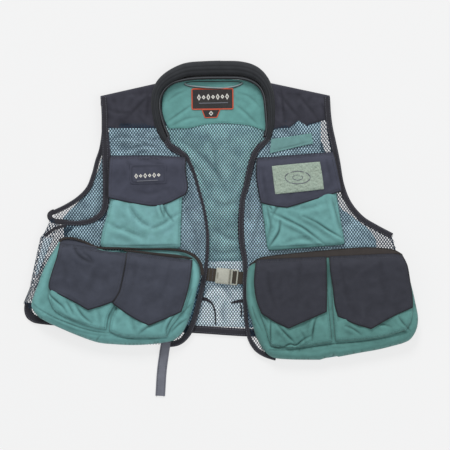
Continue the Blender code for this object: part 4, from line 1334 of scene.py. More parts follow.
net("front_net_right", FN_R, lambda P: z_front_r(P) + fold_parts(P, LIN_R_FOLDS)[0], NETTING, "blend_right",
    hole=0.725, slot="mesh", replaces=["front_mesh_right"])


LIN_L = np.vstack([resample(np.array([(108.6, 200), (109, 127), (157, 127), (163, 138), (170, 146)]), 2),
                   FRONT_L[(FRONT_L[:, 1] > 150) & (FRONT_L[:, 1] < 281)],
                   resample(np.array([(196, 286), (112, 284), (103, 249), (64, 243), (68, 233), (76, 226), (88, 222.5), (103, 221),
                                       (106.5, 215), (108.6, 200)]), 2)[:-1]])
LIN_R = np.vstack([resample(np.array([(334, 156), (321, 152), (320.6, 119.5), (300, 119.5), (276, 122.5), (270, 134), (262, 148)]), 2),
                   FRONT_R[(FRONT_R[:, 1] > 152) & (FRONT_R[:, 1] < 281)],
                   resample(np.array([(252, 290), (330, 288), (346, 254), (377, 253), (376, 239), (370, 230), (359, 221.5), (349, 214),
                                       (341, 209), (338, 200), (334, 156)]), 2)[:-1]])
sheet("front_lining_left", LIN_L, lambda P: z_front_l(P) - 1.0, FINE_NET, "blend_left", step=2.4, thick=0.5,
      folds=LIN_L_FOLDS,
      slot="mesh", rests=["front_net_left"])
sheet("front_lining_right", LIN_R, lambda P: z_front_r(P) - 1.0, FINE_NET, "blend_right", step=2.4, thick=0.5,
      folds=LIN_R_FOLDS,
      slot="mesh", rests=["front_net_right"])


def wid(pairs):
    s0 = [p[0] for p in pairs]
    w0 = [p[1] for p in pairs]
    return lambda s: np.interp(s, s0, w0)


def arc_of(line, y, lower=True):
    """Place along a line (0 to 1) where it reaches height y on the grid."""
    L = np.concatenate([[0], np.cumsum(np.linalg.norm(np.diff(line, axis=0), axis=1))])
    k = int(np.argmin(np.abs(line[:, 1] - y)))
    return L[k] / L[-1]


wl = wid([(0, 1.05), (arc_of(FRONT_L, 150), 1.25), (arc_of(FRONT_L, 162), 0.66), (arc_of(FRONT_L, 200), 0.5),
          (arc_of(FRONT_L, 262), 0.6), (arc_of(FRONT_L, 285), 0.95), (arc_of(FRONT_L, 330), 1.0), (1, 1.0)])
wr = wid([(0, 0.9), (arc_of(FRONT_R, 150), 1.1), (arc_of(FRONT_R, 175), 1.15), (arc_of(FRONT_R, 200), 0.95), (arc_of(FRONT_R, 230), 1.1),
          (arc_of(FRONT_R, 255), 1.0), (arc_of(FRONT_R, 272), 0.72), (arc_of(FRONT_R, 330), 0.72), (1, 0.9)])
tape("front_tape_left", FRONT_L, lambda Q: z_front_l(Q) + 0.4, 2.9, 3.0, BINDING, "blend_left", width=wl,
     stitch=THREAD_G, slot="binding", replaces=["front_binding_left"])
tape("front_tape_right", FRONT_R, lambda Q: z_front_r(Q) + 0.4, 2.9, 3.0, BINDING, "blend_right", width=wr,
     stitch=THREAD_G, slot="binding", replaces=["front_binding_right"])
tape("armhole_tape_left", ARM_L, lambda Q: z_front_l(Q) + 0.5 + 1.3 * smooth(134, 120, Q[:, 1]), 3.0, 3.0, BINDING, "blend_left",
     width=wid([(0, 1.0), (0.35, 1.15), (0.6, 1.15), (0.85, 0.85), (1, 0.85)]), stitch=THREAD_G, slot="binding",
     replaces=["armhole_binding_front_left"])
tape("armhole_tape_right", ARM_R, lambda Q: z_front_r(Q) + 0.5 + 1.3 * smooth(132, 118, Q[:, 1]), 3.0, 3.0, BINDING, "blend_right",
     stitch=THREAD_G, slot="binding", replaces=["armhole_binding_front_right"])
# a strip of the yoke cloth runs down inside the left armhole
tape("armhole_facing_left", cr([(105.5, 127), (107.5, 145), (108.5, 160), (108.6, 180), (108, 197)]),
     lambda Q: z_front_l(Q) + 0.9, 2.2, 1.0, YOKE, "blend_left", slot="charcoal_nylon")

# ------------------------------------------------------------------ side panels
side_l = []


def side_left(P):
    """Wraps the side: x squares across from the lifting line, folding under past the outer edge."""
    y = P[:, 1]
    xi = np.interp(y, [213, 303], [axis_x(AXIS_L, 213, -0.6), axis_x(AXIS_L, 303, -0.6)])
    xo = np.interp(y, [213, 222, 232, 238, 254, 268, 280, 303], [50.5, 49.5, 45, 40.5, 37, 34, 31.4, 27.2])
    w = np.maximum(xi - xo - 2.0, 0.6)
    s = P[:, 0]                              # squares of cloth from the line
    bend = 2.0 * PI
    x = np.where(s < w, xi - s, np.where(s < w + bend, xi - w - 2.6 * np.sin((s - w) / bend * PI),
                                        xi - w + (s - w - bend)))
    z = np.where(s < w, 16.6, np.where(s < w + bend, 11.4 + 5.2 * np.cos((s - w) / bend * PI), 6.2))
    Q = np.column_stack([x, y])
    z = z + 0.6 * waves(Q, 12, 71) * np.minimum(1, s / 3) + np.where(
        s < w, crease(Q, [(44, 236), (60, 229), (80, 227)], 1.6, 1.8), 0.0)
    return world(Q, z)


net("side_net_left", np.array([(0, 219), (19, 219), (19, 303), (0, 303)], float), None, NETTING, "back",
    place3=side_left, hole=0.73, slot="mesh", replaces=["side_panel_left"])

SIDE_Y = np.linspace(238, 275, 12)
SIDE_LIN = np.vstack([
    np.column_stack([axis_x(AXIS_L, SIDE_Y, -1.6), SIDE_Y]),
    np.column_stack([np.interp(SIDE_Y, [238, 254, 268, 280, 303], [43.5, 39.6, 36.6, 34.0, 29.8]), SIDE_Y])[::-1]])
sheet("side_lining_left", SIDE_LIN, lambda P: 15.4 + 0.6 * waves(P, 12, 71), PALE_NET, "back", step=2.4, thick=0.5,
      slot="mesh", rests=["side_net_left"])


def side_right(P):
    y = P[:, 1]
    x0 = np.interp(y, [234, 237, 252, 267, 287, 308], [391, 391.5, 396, 403.5, 409.5, 412])
    s = P[:, 0]
    t = np.clip(s / 7.0, 0, 1)
    return world(np.column_stack([x0 - 1.4 * np.cos(t * PI * 2) * 0.5, y]), 14.6 - 8.4 * t)


net("side_net_right", np.array([(0, 237), (7, 237), (7, 308), (0, 308)], float), None, NETTING, "back",
    place3=side_right, hole=0.66, slot="mesh", replaces=["side_panel_right"])
# the armhole's binding turns round the side, from the front to the back
CORNER = cr([(67, 222, 17.2), (60, 221.8, 17.0), (54, 220.8, 15.6), (50.4, 218.6, 12.8), (49.2, 215.6, 9.6),
             (50.4, 213.2, 7.4), (54, 211.4, 6.5)], 1.0)
sweep("armhole_tape_corner", world(CORNER[:, :2], CORNER[:, 2]), tape_section(2.6 * U, 0.0026), BINDING, "back",
      slot="binding")
# a dark tape where the side panel meets the armhole
tape("side_seam_left", cr([(44.6, 236), (50, 231.4), (57, 227.6), (66, 225.6)]),
     lambda Q: np.full(len(Q), 17.4), 1.5, 1.0, BINDING, "back", slot="binding")


# ------------------------------------------------------------------ pockets
def from_sides(P, line):
    return near(P, line)[0]


CP_L_SIDES = cr([(183, 164), (182.5, 180), (182, 201), (181.2, 225), (180.8, 243)], 1.2)
CP_L = outline([(112, 163), (183, 163)], [(183, 163), (182.5, 180), (182, 201), (181.2, 225), (180.8, 243)],
               [(180.8, 243), (180.2, 246.6), (177, 248.6)], [(177, 248.6), (140, 249.2), (108, 249.6)],
               [(108, 249.6), (102.4, 248.5), (100, 243)], [(100, 243), (102.5, 230), (107, 214), (110, 200),
                                                           (111.4, 182), (112, 163)], step=1.2)
CP_R = outline([(260, 166.2), (333, 160.4)], [(333, 160.4), (334.5, 178), (336.5, 194), (340.5, 218), (344.5, 240)],
               [(344.5, 240), (344.2, 243.6), (341, 245)], [(341, 245), (310, 247.5), (272, 250.6)],
               [(272, 250.6), (268.4, 249.5), (267, 246)], [(267, 246), (264.5, 226), (261.5, 202), (260, 166.2)],
               step=1.2)


def closed_sides(out, mouth_y):
    """The part of an outline that is sewn down: everything but the mouth, which starts at point 0."""
    k = int(np.argmax(np.abs(np.diff(out[:, 1])) > 0.8)) if mouth_y is None else mouth_y
    return np.vstack([out[k:], out[:1]])


def mouth_end(out, corner):
    return int(np.argmin(np.linalg.norm(out - np.asarray(corner), axis=1)))


CP_L_CLOSED = np.vstack([CP_L[mouth_end(CP_L, (183, 163)):], CP_L[:1]])
CP_R_CLOSED = np.vstack([CP_R[mouth_end(CP_R, (333, 160.4)):], CP_R[:1]])


def z_chest_l(P):
    d = near(P, CP_L_CLOSED)[0]
    return 17.9 + 9.6 * dome(d, 8.0) - 1.0 * smooth(205, 240, P[:, 1]) + crumple(P, 1.2, 81) * np.clip(d / 5, 0, 1)


def z_chest_r(P):
    d = near(P, CP_R_CLOSED)[0]
    return 17.9 + 9.6 * dome(d, 8.0) - 1.0 * smooth(205, 240, P[:, 1]) + crumple(P, 1.35, 85) * np.clip(d / 5, 0, 1)


CHEST_L_FOLDS = [([(131, 207), (135, 214), (142, 222), (152, 227)], 2.0, 2.4, 0.9, 0.10),
                 ([(150, 229), (162, 224), (172, 217), (181, 212)], 1.8, 2.2, 1.0, 0.12),
                 ([(167, 203), (164.6, 211), (163.6, 219)], 1.6, 1.6, 0.9, 0.20),
                 ([(113, 226), (128, 231), (146, 238)], 1.4, 2.4, 0.9, 0.08),
                 ([(163, 201), (164, 207), (167, 213), (173, 221)], 2.2, 1.5, 0.9, 0.55),
                 ([(160, 203), (161, 210), (164, 217)], 1.4, 1.4, 0.8, 0.35),
                 ([(130, 206), (133, 214), (134, 222)], 1.0, 3.0, 0.6, 0.12),
                 ([(108, 222), (120, 228), (128, 224)], 1.0, 2.6, 0.8, 0.10),
                 ([(122, 226), (130, 232), (140, 236)], 0.8, 3.0, 0.6, 0.10),
                 ([(104, 245), (130, 245.8), (178, 244.6)], 0.5, 0.9, 0.3, 0.35)]
CHEST_R_FOLDS = [([(271, 212), (286, 219), (302, 227), (313, 235), (326, 245)], 2.6, 1.6, 1.2, 0.45),
                 ([(266.4, 203), (268.4, 214), (270.6, 226), (267, 240)], 2.0, 2.0, 0.9, 0.34),
                 ([(283, 243), (300, 238), (318, 240)], 1.2, 2.6, 0.9, 0.14),
                 ([(296, 209), (310, 207), (326, 202)], 1.0, 2.6, 0.9, 0.12),
                 ([(303, 216), (316, 222), (330, 231), (345, 239)], 2.6, 1.4, 0.9, 0.75),
                 ([(280, 221), (279, 231), (274, 240), (269, 247)], 2.2, 1.4, 0.9, 0.70),
                 ([(269, 206), (271, 208), (272, 209.5)], 1.2, 1.3, 0.6, 0.8),
                 ([(278, 205), (275, 211), (272, 217)], 1.4, 1.6, 0.8, 0.25),
                 ([(332, 198), (336, 214), (340, 228)], 1.2, 1.7, 0.8, 0.30),
                 ([(290, 214), (310, 224), (328, 236)], 1.0, 3.5, 0.8, 0.15),
                 ([(270, 247), (300, 245.5), (330, 243.4)], 0.5, 0.9, 0.3, 0.30)]
sheet("chest_pocket_front_left", CP_L, z_chest_l, TEAL, "front_left", step=1.5, thick=0.9, folds=CHEST_L_FOLDS,
      rings=(0.45, 1.1), slot="teal_nylon", replaces=["chest_pocket_left"], rests=["front_net_left"])
sheet("chest_pocket_front_right", CP_R, z_chest_r, CHEST_TEAL, "front_right", step=1.5, thick=0.9, folds=CHEST_R_FOLDS,
      rings=(0.45, 1.1), slot="teal_nylon", replaces=["chest_pocket_right"], rests=["front_net_right"])
sheet("chest_pocket_back_left", CP_L + (0, -0.0), lambda P: 17.7 + 0.0 * P[:, 0], TEAL_DEEP, "front_left", step=4,
      thick=0.7, slot="teal_nylon")
sheet("chest_pocket_back_right", CP_R, lambda P: 17.7 + 0.0 * P[:, 0], TEAL_DEEP, "front_right", step=4, thick=0.7,
      slot="teal_nylon")


def along_closed(out, inset):
    """A line that runs inset squares inside an outline's sewn sides."""
    g = np.roll(out, -1, 0) - np.roll(out, 1, 0)
    g = g / np.linalg.norm(g, axis=1)[:, None]
    n = np.column_stack([-g[:, 1], g[:, 0]])
    if inside(out + n * 0.1, out).mean() < 0.5:
        n = -n
    return out + n * inset


for nm, out, zf, body, corner, fl_ in (("l", CP_L, z_chest_l, "front_left", (183, 163), CHEST_L_FOLDS),
                                       ("r", CP_R, z_chest_r, "front_right", (333, 160.4), CHEST_R_FOLDS)):
    inner_ = along_closed(out, 2.6)[mouth_end(out, corner) + 3:-3]
    stitches(body, THREAD_T, inner_, lambda P, zf=zf, fl_=fl_: zf(P) + fold_parts(P, fl_)[0], lift=0.4)


# ---- flaps
def flap_z(line, profile, seed, droop=1.0):
    def f(P):
        _, r = from_line(P, line)
        z = np.interp(r, [p[0] for p in profile], [p[1] for p in profile])
        return z + crumple(P, 1.3, seed) * smooth(3, 12, r)
    return f


def soft_profile(z0, z1, r1):
    rs = np.linspace(0, r1, 12)
    return [(-6, z0 - 0.6)] + [(r, z0 + (z1 - z0) * math.sin(PI / 2 * r / r1) ** 0.9) for r in rs] + [(120, z1)]


def flap_piece(name, out, zf, mat, body, replaces, folds=(), dark_mat=None, free=None, rests=()):
    """A pocket flap: the outer cloth with a turned, stitched hem, and its darker lining just proud of the edge,
    near-black so that it also paints the shadow under the flap's edge.
    """
    closed = np.vstack([out, out[:1]])

    def z(P):
        d = near(P, closed)[0]
        edge = 0.9 * np.exp(-(d / 1.1) ** 2) if free is None else 0.9 * np.exp(-(near(P, free)[0] / 1.1) ** 2)
        hem = 0.35 * np.exp(-((d - 2.3) / 0.45) ** 2)
        return zf(P) - edge - hem
    ob = sheet(name, out, z, mat, body, step=1.5, thick=1.1, folds=folds, rings=(0.5, 1.3), slot="charcoal_nylon",
               replaces=replaces, held="hung", rests=rests)
    if free is not None:
        g = offset(free, 0.0)
        c = out.mean(0)
        n = np.gradient(g, axis=0)
        n = n / np.linalg.norm(n, axis=1)[:, None]
        nn = np.column_stack([-n[:, 1], n[:, 0]])
        if ((g + nn - c) ** 2).sum() < ((g - nn - c) ** 2).sum():
            nn = -nn
        outer = g + nn * 0.55
        inn = g - nn * 6.0
        band = np.vstack([outer, inn[::-1]])
        # the lining's strip is a swept near-black edge: partly the lining, partly a painted shadow under the flap's
        # edge
        L = world(g + nn * 0.35, zf(g) - 1.9)
        sec = np.array([(0.0015 * math.cos(a), 0.0008 * math.sin(a)) for a in np.linspace(0, 2 * PI, 9)[:-1]])
        sweep(name + "_lining_edge", L, sec, NEARBLACK, body, slot="binding")
        S = g - nn * 2.3
        S = S[inside(S, out)]
        stitches(body, THREAD_D, S, lambda P: z(P) + fold_parts(P, folds)[0] if folds else z(P), lift=0.55)
    return ob


CHINGE_L = np.array([(110.0, 156.0), (185.0, 156.0)])
CHINGE_R = np.array([(256.0, 158.1), (334.0, 151.9)])
CF_L = outline([(110.5, 156), (150, 155.6), (184.8, 157)], [(184.8, 157), (185, 172), (187, 187), (184.6, 194)],
               [(184.6, 194), (172, 200.4), (161, 204.8)], [(161, 204.8), (150, 204.9), (130, 201.8), (108.8, 197.2)],
               [(108.8, 197.2), (109, 180), (110.5, 156)], step=1.2)
CF_R = outline([(257.5, 158), (290, 155.4), (333, 151.9)], [(333, 151.9), (337, 170), (341.2, 190.5)],
               [(341.2, 190.5), (330, 194), (312, 199.4), (287, 206.8)], [(287, 206.8), (274, 205.2), (261.5, 202)],
               [(261.5, 202), (259, 190), (257, 176), (257.5, 158)], step=1.2)
chest_prof = soft_profile(19.3, 30.4, 8.5)
z_cfl = flap_z(CHINGE_L, chest_prof, 91)
z_cfr = flap_z(CHINGE_R, chest_prof, 92)


def free_run(out, corner):
    return np.vstack([out[mouth_end(out, corner):], out[:1]])


CFL_FOLDS = [([(128, 162), (133, 172), (131, 180)], 0.7, 2.4, 0.7, 0.18),
             ([(140, 160), (158, 163), (168, 172)], 0.6, 2.6, 0.7, 0.12),
             ([(134, 190), (150, 193), (168, 188)], 0.6, 2.6, 0.7, 0.12)]
CFR_FOLDS = [([(262, 168), (264, 182), (266, 196)], 0.7, 2.4, 0.7, 0.15),
             ([(326, 160), (329, 172), (332, 184)], 0.6, 2.2, 0.7, 0.15)]
flap_piece("chest_flap_cloth_left", CF_L, z_cfl, CHARCOAL, "chest_flap_l", ["chest_flap_left"], CFL_FOLDS,
           free=free_run(CF_L, (184.8, 157)), rests=["chest_pocket_front_left"])
flap_piece("chest_flap_cloth_right", CF_R, z_cfr, CHARCOAL, "chest_flap_r", ["chest_flap_right"], CFR_FOLDS,
           free=free_run(CF_R, (333, 151.9)), rests=["chest_pocket_front_right"])
stitches("chest_flap_l", THREAD_D, resample(np.array([(112, 158.6), (183, 158.9)]), 1.7), z_cfl, lift=0.5)
stitches("chest_flap_r", THREAD_D, resample(np.array([(259, 160.6), (332, 154.7)]), 1.7), z_cfr, lift=0.5)

# ---- label on the left flap, fleece patch on the right
sheet("chest_label_patch", rect(148.2, 174.2, 36, 19.4, -1.0, 1.6), lambda P: z_cfl(P) + 1.15, CHARCOAL,
      "chest_flap_l", step=1.5, thick=0.8, slot="label", replaces=["chest_label"],
      folds=[(rect(148.2, 174.2, 32.4, 16.0, -1.0, 1.4), 0.35, 0.5, 0.3, 0.25)])
chevrons("chest_label_motif", 147.5, 175.6, 27, 5.2, 6, -3.0, lambda P: z_cfl(P) + 1.6, PALE, "chest_flap_l", "label",
         0.95)
tape("chest_label_line", np.array([(137, 181.2), (158, 180.2)]), lambda P: z_cfl(P) + 1.8, 0.32, 0.4, GREYISH,
     "chest_flap_l", slot="label")

FLY = outline([(272, 166.4), (296, 164.0), (319.6, 162)], [(319.6, 162), (322.0, 176), (323.6, 189)],
              [(323.6, 189), (300, 191.6), (275.4, 194)], [(275.4, 194), (273.6, 180), (272, 166.4)], step=0.9)
rng = np.random.default_rng(5)


def z_fleece(P):
    d = near(P, np.vstack([FLY, FLY[:1]]))[0]
    h = 0.55 * waves(P, 3.2, 95, 12) + 0.5 * waves(P, 1.9, 96, 12)
    return z_cfr(P) + 1.5 + 0.9 * np.clip(d / 1.6, 0, 1) + h


sheet("fly_patch_fleece", FLY, z_fleece, FLEECE, "chest_flap_r", step=0.72, thick=1.2, slot="fleece",
      replaces=["fly_patch"])
oval = np.column_stack([297.5 + 12.5 * np.cos(np.linspace(0, 2 * PI, 60)[:-1]),
                        177.6 + 6.2 * np.sin(np.linspace(0, 2 * PI, 60)[:-1])])
trim("fly_patch_motif", oval, lambda P: z_cfr(P) + 3.1, 0.42, THREAD_G, "chest_flap_r", "fleece")
trim("fly_patch_motif_inner", np.column_stack([297.5 + 5.0 * np.cos(np.linspace(0, 2 * PI, 40)[:-1]),
                                               177.6 + 2.6 * np.sin(np.linspace(0, 2 * PI, 40)[:-1])]),
     lambda P: z_cfr(P) + 3.1, 0.38, THREAD_G, "chest_flap_r", "fleece")

# ---- utility tab
TAB = outline([(271.5, 139), (290, 136.6), (311.5, 133.2)], [(311.5, 133.2), (313, 143.4)],
              [(313, 143.4), (296, 147), (270, 153.2)], [(270, 153.2), (271.5, 139)], step=1.2)
sheet("utility_tab_cloth", TAB, lambda P: z_front_r(P) + 1.7 + 0.3 * waves(P, 16, 99), TAB_TEAL, "blend_right", step=1.3,
      thick=1.0, rings=(0.5,), slot="teal_nylon", replaces=["utility_tab"],
      folds=[([(274, 150), (292, 146), (310, 141)], 0.5, 1.0, 0.5, 0.2)])

# ---- lower pockets
LP_L = outline([(59.5, 243.2), (98, 250.5), (128, 253.6), (160, 255.4), (192, 257.5)],
               [(192, 257.5), (198.6, 265), (200, 276), (197, 289), (192, 306), (188.5, 320), (182, 333), (173, 341)],
               [(173, 341), (160, 343.4), (136, 345.2), (114, 344.4), (97, 342.4), (76, 335), (52, 324.4), (40, 318)],
               [(40, 318), (33.6, 311), (31.5, 303), (38, 284), (46.5, 263), (59.5, 243.2)], step=1.3)
LP_L_CLOSED = np.vstack([LP_L[mouth_end(LP_L, (192, 257.5)):], LP_L[:1]])
LP_R = outline([(402, 255), (367, 255.2), (330, 256.8), (273, 259.4), (256, 262.5)],
               [(256, 262.5), (248.6, 268), (246.4, 286), (247.6, 306), (252, 322), (256, 336), (262.5, 349)],
               [(262.5, 349), (272, 357.4), (290, 359.6), (320, 360)],
               [(320, 360), (328, 357.6), (334, 355.8), (339, 357)],
               [(339, 357), (360, 353), (380, 349.4), (402, 343.8)],
               [(402, 343.8), (410.5, 339.6), (416.4, 330), (418, 318), (415.6, 304), (411.5, 286), (406.5, 268),
                (402, 255)], step=1.3)
LP_R_CLOSED = np.vstack([LP_R[mouth_end(LP_R, (256, 262.5)):], LP_R[:1]])


def low_base(P):
    """Where a lower pocket's back lies: on the front panel, and on the table past the hem."""
    return 17.6 - 11.5 * smooth(318, 346, P[:, 1])


def z_low(P, closed, seed):
    d = near(P, closed)[0]
    b = low_base(P)
    top = 34.6 - 6.5 * smooth(326, 350, P[:, 1])
    return b + (top - b) * dome(d, 7.0) + crumple(P, 1.5, seed) * np.clip(d / 5, 0, 1)


def z_lpl(P):
    return z_low(P, LP_L_CLOSED, 201)


def z_lpr(P):
    return z_low(P, LP_R_CLOSED, 211)


# the first entry has no depth: painted light along the pocket's inner edge, which faces the lamp
LPL_FOLDS = [([(186, 260), (194, 270), (196, 282), (195, 295), (190, 308)], 0.0, 3.6, 0.6, -0.8),
             ([(34, 304), (40, 309), (54, 317), (70, 323.5), (84, 328.5), (98, 331.6), (112, 332.6)], 0.9, 0.9, 0.6,
              0.50),
             ([(46, 316), (66, 326), (88, 333), (106, 335.5)], 0.7, 1.4, 0.6, 0.18),
             ([(112, 332.6), (118, 336), (130, 338.4), (150, 338.6), (166, 337.6)], 0.9, 0.9, 0.6, 0.50),
             ([(96, 341), (98, 338), (101, 335)], 0.9, 1.0, 0.6, 0.25),
             ([(192, 290), (187, 305), (183, 316)], 0.8, 1.2, 0.6, 0.2),
             ([(190, 305), (183, 312), (179, 316)], 0.9, 1.2, 0.6, 0.35),
             ([(186, 319), (179, 324), (172, 331)], 1.1, 1.3, 0.8, 0.40)]
# the first entry has no depth: painted light along the pocket's inner edge, which faces the lamp
LPR_FOLDS = [([(249.5, 268), (249, 282), (250.5, 296), (254, 312)], 0.0, 3.2, 0.6, -0.75),
             ([(270, 346), (276, 347.5), (283, 348)], 1.2, 1.0, 0.6, 0.5),
             ([(270, 349.5), (286, 349.8), (304, 348), (320, 345.6), (334, 343.6), (352, 342.2), (372, 339.8),
               (392, 336), (406, 332.6)], 0.9, 0.9, 0.6, 0.45),
             ([(251, 280), (253, 294), (256, 306)], 0.7, 1.3, 0.8, 0.05),
             ([(252, 306), (256, 318), (262, 330)], 0.9, 1.3, 0.8, 0.25),
             ([(400, 316), (404, 323), (410, 331)], 1.4, 1.3, 0.8, 0.45),
             ([(392, 334), (400, 331.4), (408, 331.6)], 1.0, 1.1, 0.7, 0.35)]
sheet("lower_pocket_front_left", LP_L, z_lpl, TEAL_MID, "front_left", step=1.9, thick=1.0, folds=LPL_FOLDS,
      rings=(0.45, 1.2), slot="teal_nylon", replaces=["lower_pocket_left"], rests=["front_net_left"])
sheet("lower_pocket_front_right", LP_R, z_lpr, TEAL_DEEP, "front_right", step=1.9, thick=1.0, folds=LPR_FOLDS,
      rings=(0.45, 1.2), slot="teal_nylon", replaces=["lower_pocket_right"], rests=["front_net_right"])

# the pockets' backs stand above the mouths, edged with dark tape
LPB_L = outline([(60, 240), (70, 239.4), (84, 242.4), (98, 248), (106, 250.6), (125, 250.4), (150, 249.2),
                 (170, 248.8), (184, 250.4), (194, 255), (200, 262)], [(200, 262), (200, 276), (197, 289), (188.5, 320),
                                                                    (173, 340)],
                [(173, 340), (136, 344.4), (97, 341.4), (52, 323.4), (40, 317)],
                [(40, 317), (33, 305), (38, 284), (46.5, 263), (60, 240)], step=2.0)
LPB_R = outline([(401, 255), (394, 251), (380, 249), (360, 249), (330, 251), (300, 253.8), (268, 257.5), (256, 262)],
                [(256, 262), (248.6, 268), (246.8, 286), (248, 306), (262.5, 348)],
                [(262.5, 348), (290, 358.4), (320, 359), (360, 352), (402, 342.8)],
                [(402, 342.8), (416, 330), (415, 304), (406, 268), (401, 255)], step=2.0)
sheet("lower_pocket_back_left", LPB_L, lambda P: low_base(P) + 0.5, TEAL, "front_left", step=3.5, thick=0.8,
      slot="teal_nylon")
sheet("lower_pocket_back_right", LPB_R, lambda P: low_base(P) + 0.5, TEAL, "front_right", step=3.5, thick=0.8,
      slot="teal_nylon")

MOUTH_CLOTH = woven("mouth_cloth", (56, 51, 49), var=0.10, sheen=0.06, spec=0.2)
MB_L = cr([(60.2, 242.0), (62.4, 239), (72, 238.2), (84, 241.6), (97, 247.2), (110, 248.2), (130, 248.6), (160, 249.0),
           (176, 250.0), (187, 252.2), (196, 257.4), (200.8, 265), (202.6, 275)], 1.3)
MB_R = cr([(402, 255.4), (394, 251), (380, 249), (360, 248.8), (330, 251), (300, 253.8), (268, 257.4), (258, 260),
           (250, 266)], 1.3)
tape("mouth_tape_back_left", MB_L, lambda Q: np.interp(
    Q[:, 0], [60, 66, 84, 97, 106, 122, 142, 178, 192, 200, 203], [35.2, 33.2, 33.8, 35.4, 33.5, 24, 21.5, 21.5, 30, 32.5, 31]),
     1.2, 1.6, BROWNTAPE,
     "front_left", width=lambda s_: np.interp(s_, [0, 0.75, 0.88, 1], [1, 1, 1.5, 1.3]), slot="binding")
tape("mouth_tape_back_right", MB_R, lambda Q: low_base(Q) + 2.0, 1.35, 2.2, BROWNTAPE, "front_right", slot="binding")


def mouth_band(name, contour, line, fall, mat, body, slot, below=1.2, z0=36.9):
    """The pocket's own cloth between its mouth and the line the flaps hang from."""
    C = resample(cr(contour, 1.0), 1.2)
    n = len(C)
    a, r = from_line(C, line)
    t = (line[1] - line[0]) / np.linalg.norm(line[1] - line[0])
    nn = np.array([-t[1], t[0]])
    rows = []
    for k in np.linspace(0, 1, 7):
        rr = np.minimum(r, below - 0.6) * (1 - k) + below * k
        P = line[0] + a[:, None] * t + rr[:, None] * nn
        z = z0 - fall * np.maximum(-rr, 0) ** 1.15 - 0.5 * (rr > 0)
        rows.append(np.column_stack([P, z]))
    return grid_sheet(name, np.array(rows), 0.9, mat, body, slot=slot)


mouth_band("mouth_band_left", [(60.4, 241.8), (62.4, 239.2), (72, 238.6), (84, 241.8), (97, 247.2)], HINGE_L, 1.3,
           CHARCOAL_M, "front_left", "charcoal_nylon")
mouth_band("mouth_band_right", [(257.5, 259.4), (268, 257), (300, 253.4), (330, 250.7), (360, 248.5), (380, 248.8),
                                (394, 251), (400, 253)], HINGE_R, 1.25, MOUTH_CLOTH, "front_right", "binding", z0=35.7)

HEAD_L = cr([(124, 250.4), (128, 250.7), (144, 252.5), (160, 254.4), (174, 255.9), (184, 257.2), (192, 258.8)])
tape("flap_head_tape_left", HEAD_L, lambda Q: np.minimum(z_lpl(Q) + 1.3, 35.6), 1.3, 1.2,
     BROWNTAPE, "front_left", slot="binding", width=lambda s_: np.interp(s_, [0, 0.15, 0.45, 0.75, 1], [0.5, 0.9, 1.05, 1.35, 0.8]))

# ---- pouches on the lower pockets
PO_LO = outline([(61, 251.6), (90, 255.2), (124.6, 259.6)],
                [(124.6, 259.6), (121.6, 276), (119, 290), (115.4, 303), (109, 316), (106.4, 329.4)],
                [(106.4, 329.4), (94, 327.4), (78, 322.4), (64, 316.4), (54, 310)],
                [(54, 310), (49.6, 300), (48.8, 285), (52.6, 268), (61, 251.6)], step=1.2)
PO_LI = outline([(127.4, 260), (160, 263.4), (190.4, 267.2)],
                [(190.4, 267.2), (189, 285), (185.4, 303), (178.6, 317), (170.4, 328.4), (167.2, 336.6)],
                [(167.2, 336.6), (150, 337.2), (130, 336.6), (118, 334.4), (109.4, 331)],
                [(109.4, 331), (111.6, 317.4), (118.2, 304), (121.6, 291), (127.4, 260)], step=1.2)
PO_RI = outline([(325.6, 262.6), (290, 264.8), (258.6, 267)],
                [(258.6, 267), (254.6, 284), (256, 300), (260.4, 314), (265, 328), (270.6, 345.6)],
                [(270.6, 345.6), (284, 347.4), (302, 346.4), (318, 344), (332, 341.6)],
                [(332, 341.6), (329.6, 318), (327.6, 296), (325.6, 262.6)], step=1.2)
PO_RO = outline([(400, 259.4), (366, 261.4), (331.4, 263.4)],
                [(331.4, 263.4), (331.6, 290), (332.8, 314), (335.4, 341)],
                [(335.4, 341), (360, 339.6), (384, 336), (405.4, 330)],
                [(405.4, 330), (411, 320), (411.8, 307), (407.4, 284), (400, 259.4)], step=1.2)
LO_FOLDS = [([(50, 284), (50.5, 294), (57, 301), (63, 306), (67, 312)], 1.9, 1.3, 0.9, 0.60),
            ([(67, 301), (71, 308), (74, 314)], 1.3, 1.4, 0.9, 0.35),
            ([(76, 304.5), (83, 315), (92, 322.4)], 1.8, 1.5, 1.0, 0.50),
            ([(60, 312), (72, 319), (86, 323.5)], 0.9, 1.2, 0.8, 0.30),
            ([(97, 306), (100, 316), (101, 326)], 0.8, 2.4, 0.8, 0.12)]
# the first entry has no depth: painted light along the pouch's inner edge, which faces the lamp
LI_FOLDS = [([(187, 262), (190.5, 272), (191, 286), (187, 298), (182, 310)], 0.0, 4.2, 0.6, -0.7),
            ([(115.4, 303.4), (116.6, 308), (116.4, 312)], 1.4, 1.0, 0.8, 0.55),
            ([(176, 313), (171, 320), (167, 328), (166.6, 335)], 1.9, 1.3, 0.9, 0.60),
            ([(164, 318), (154, 323), (146, 328), (139, 333.4)], 1.5, 1.5, 0.9, 0.40),
            ([(132, 318), (134, 326), (137, 334)], 0.8, 2.4, 0.8, 0.12)]
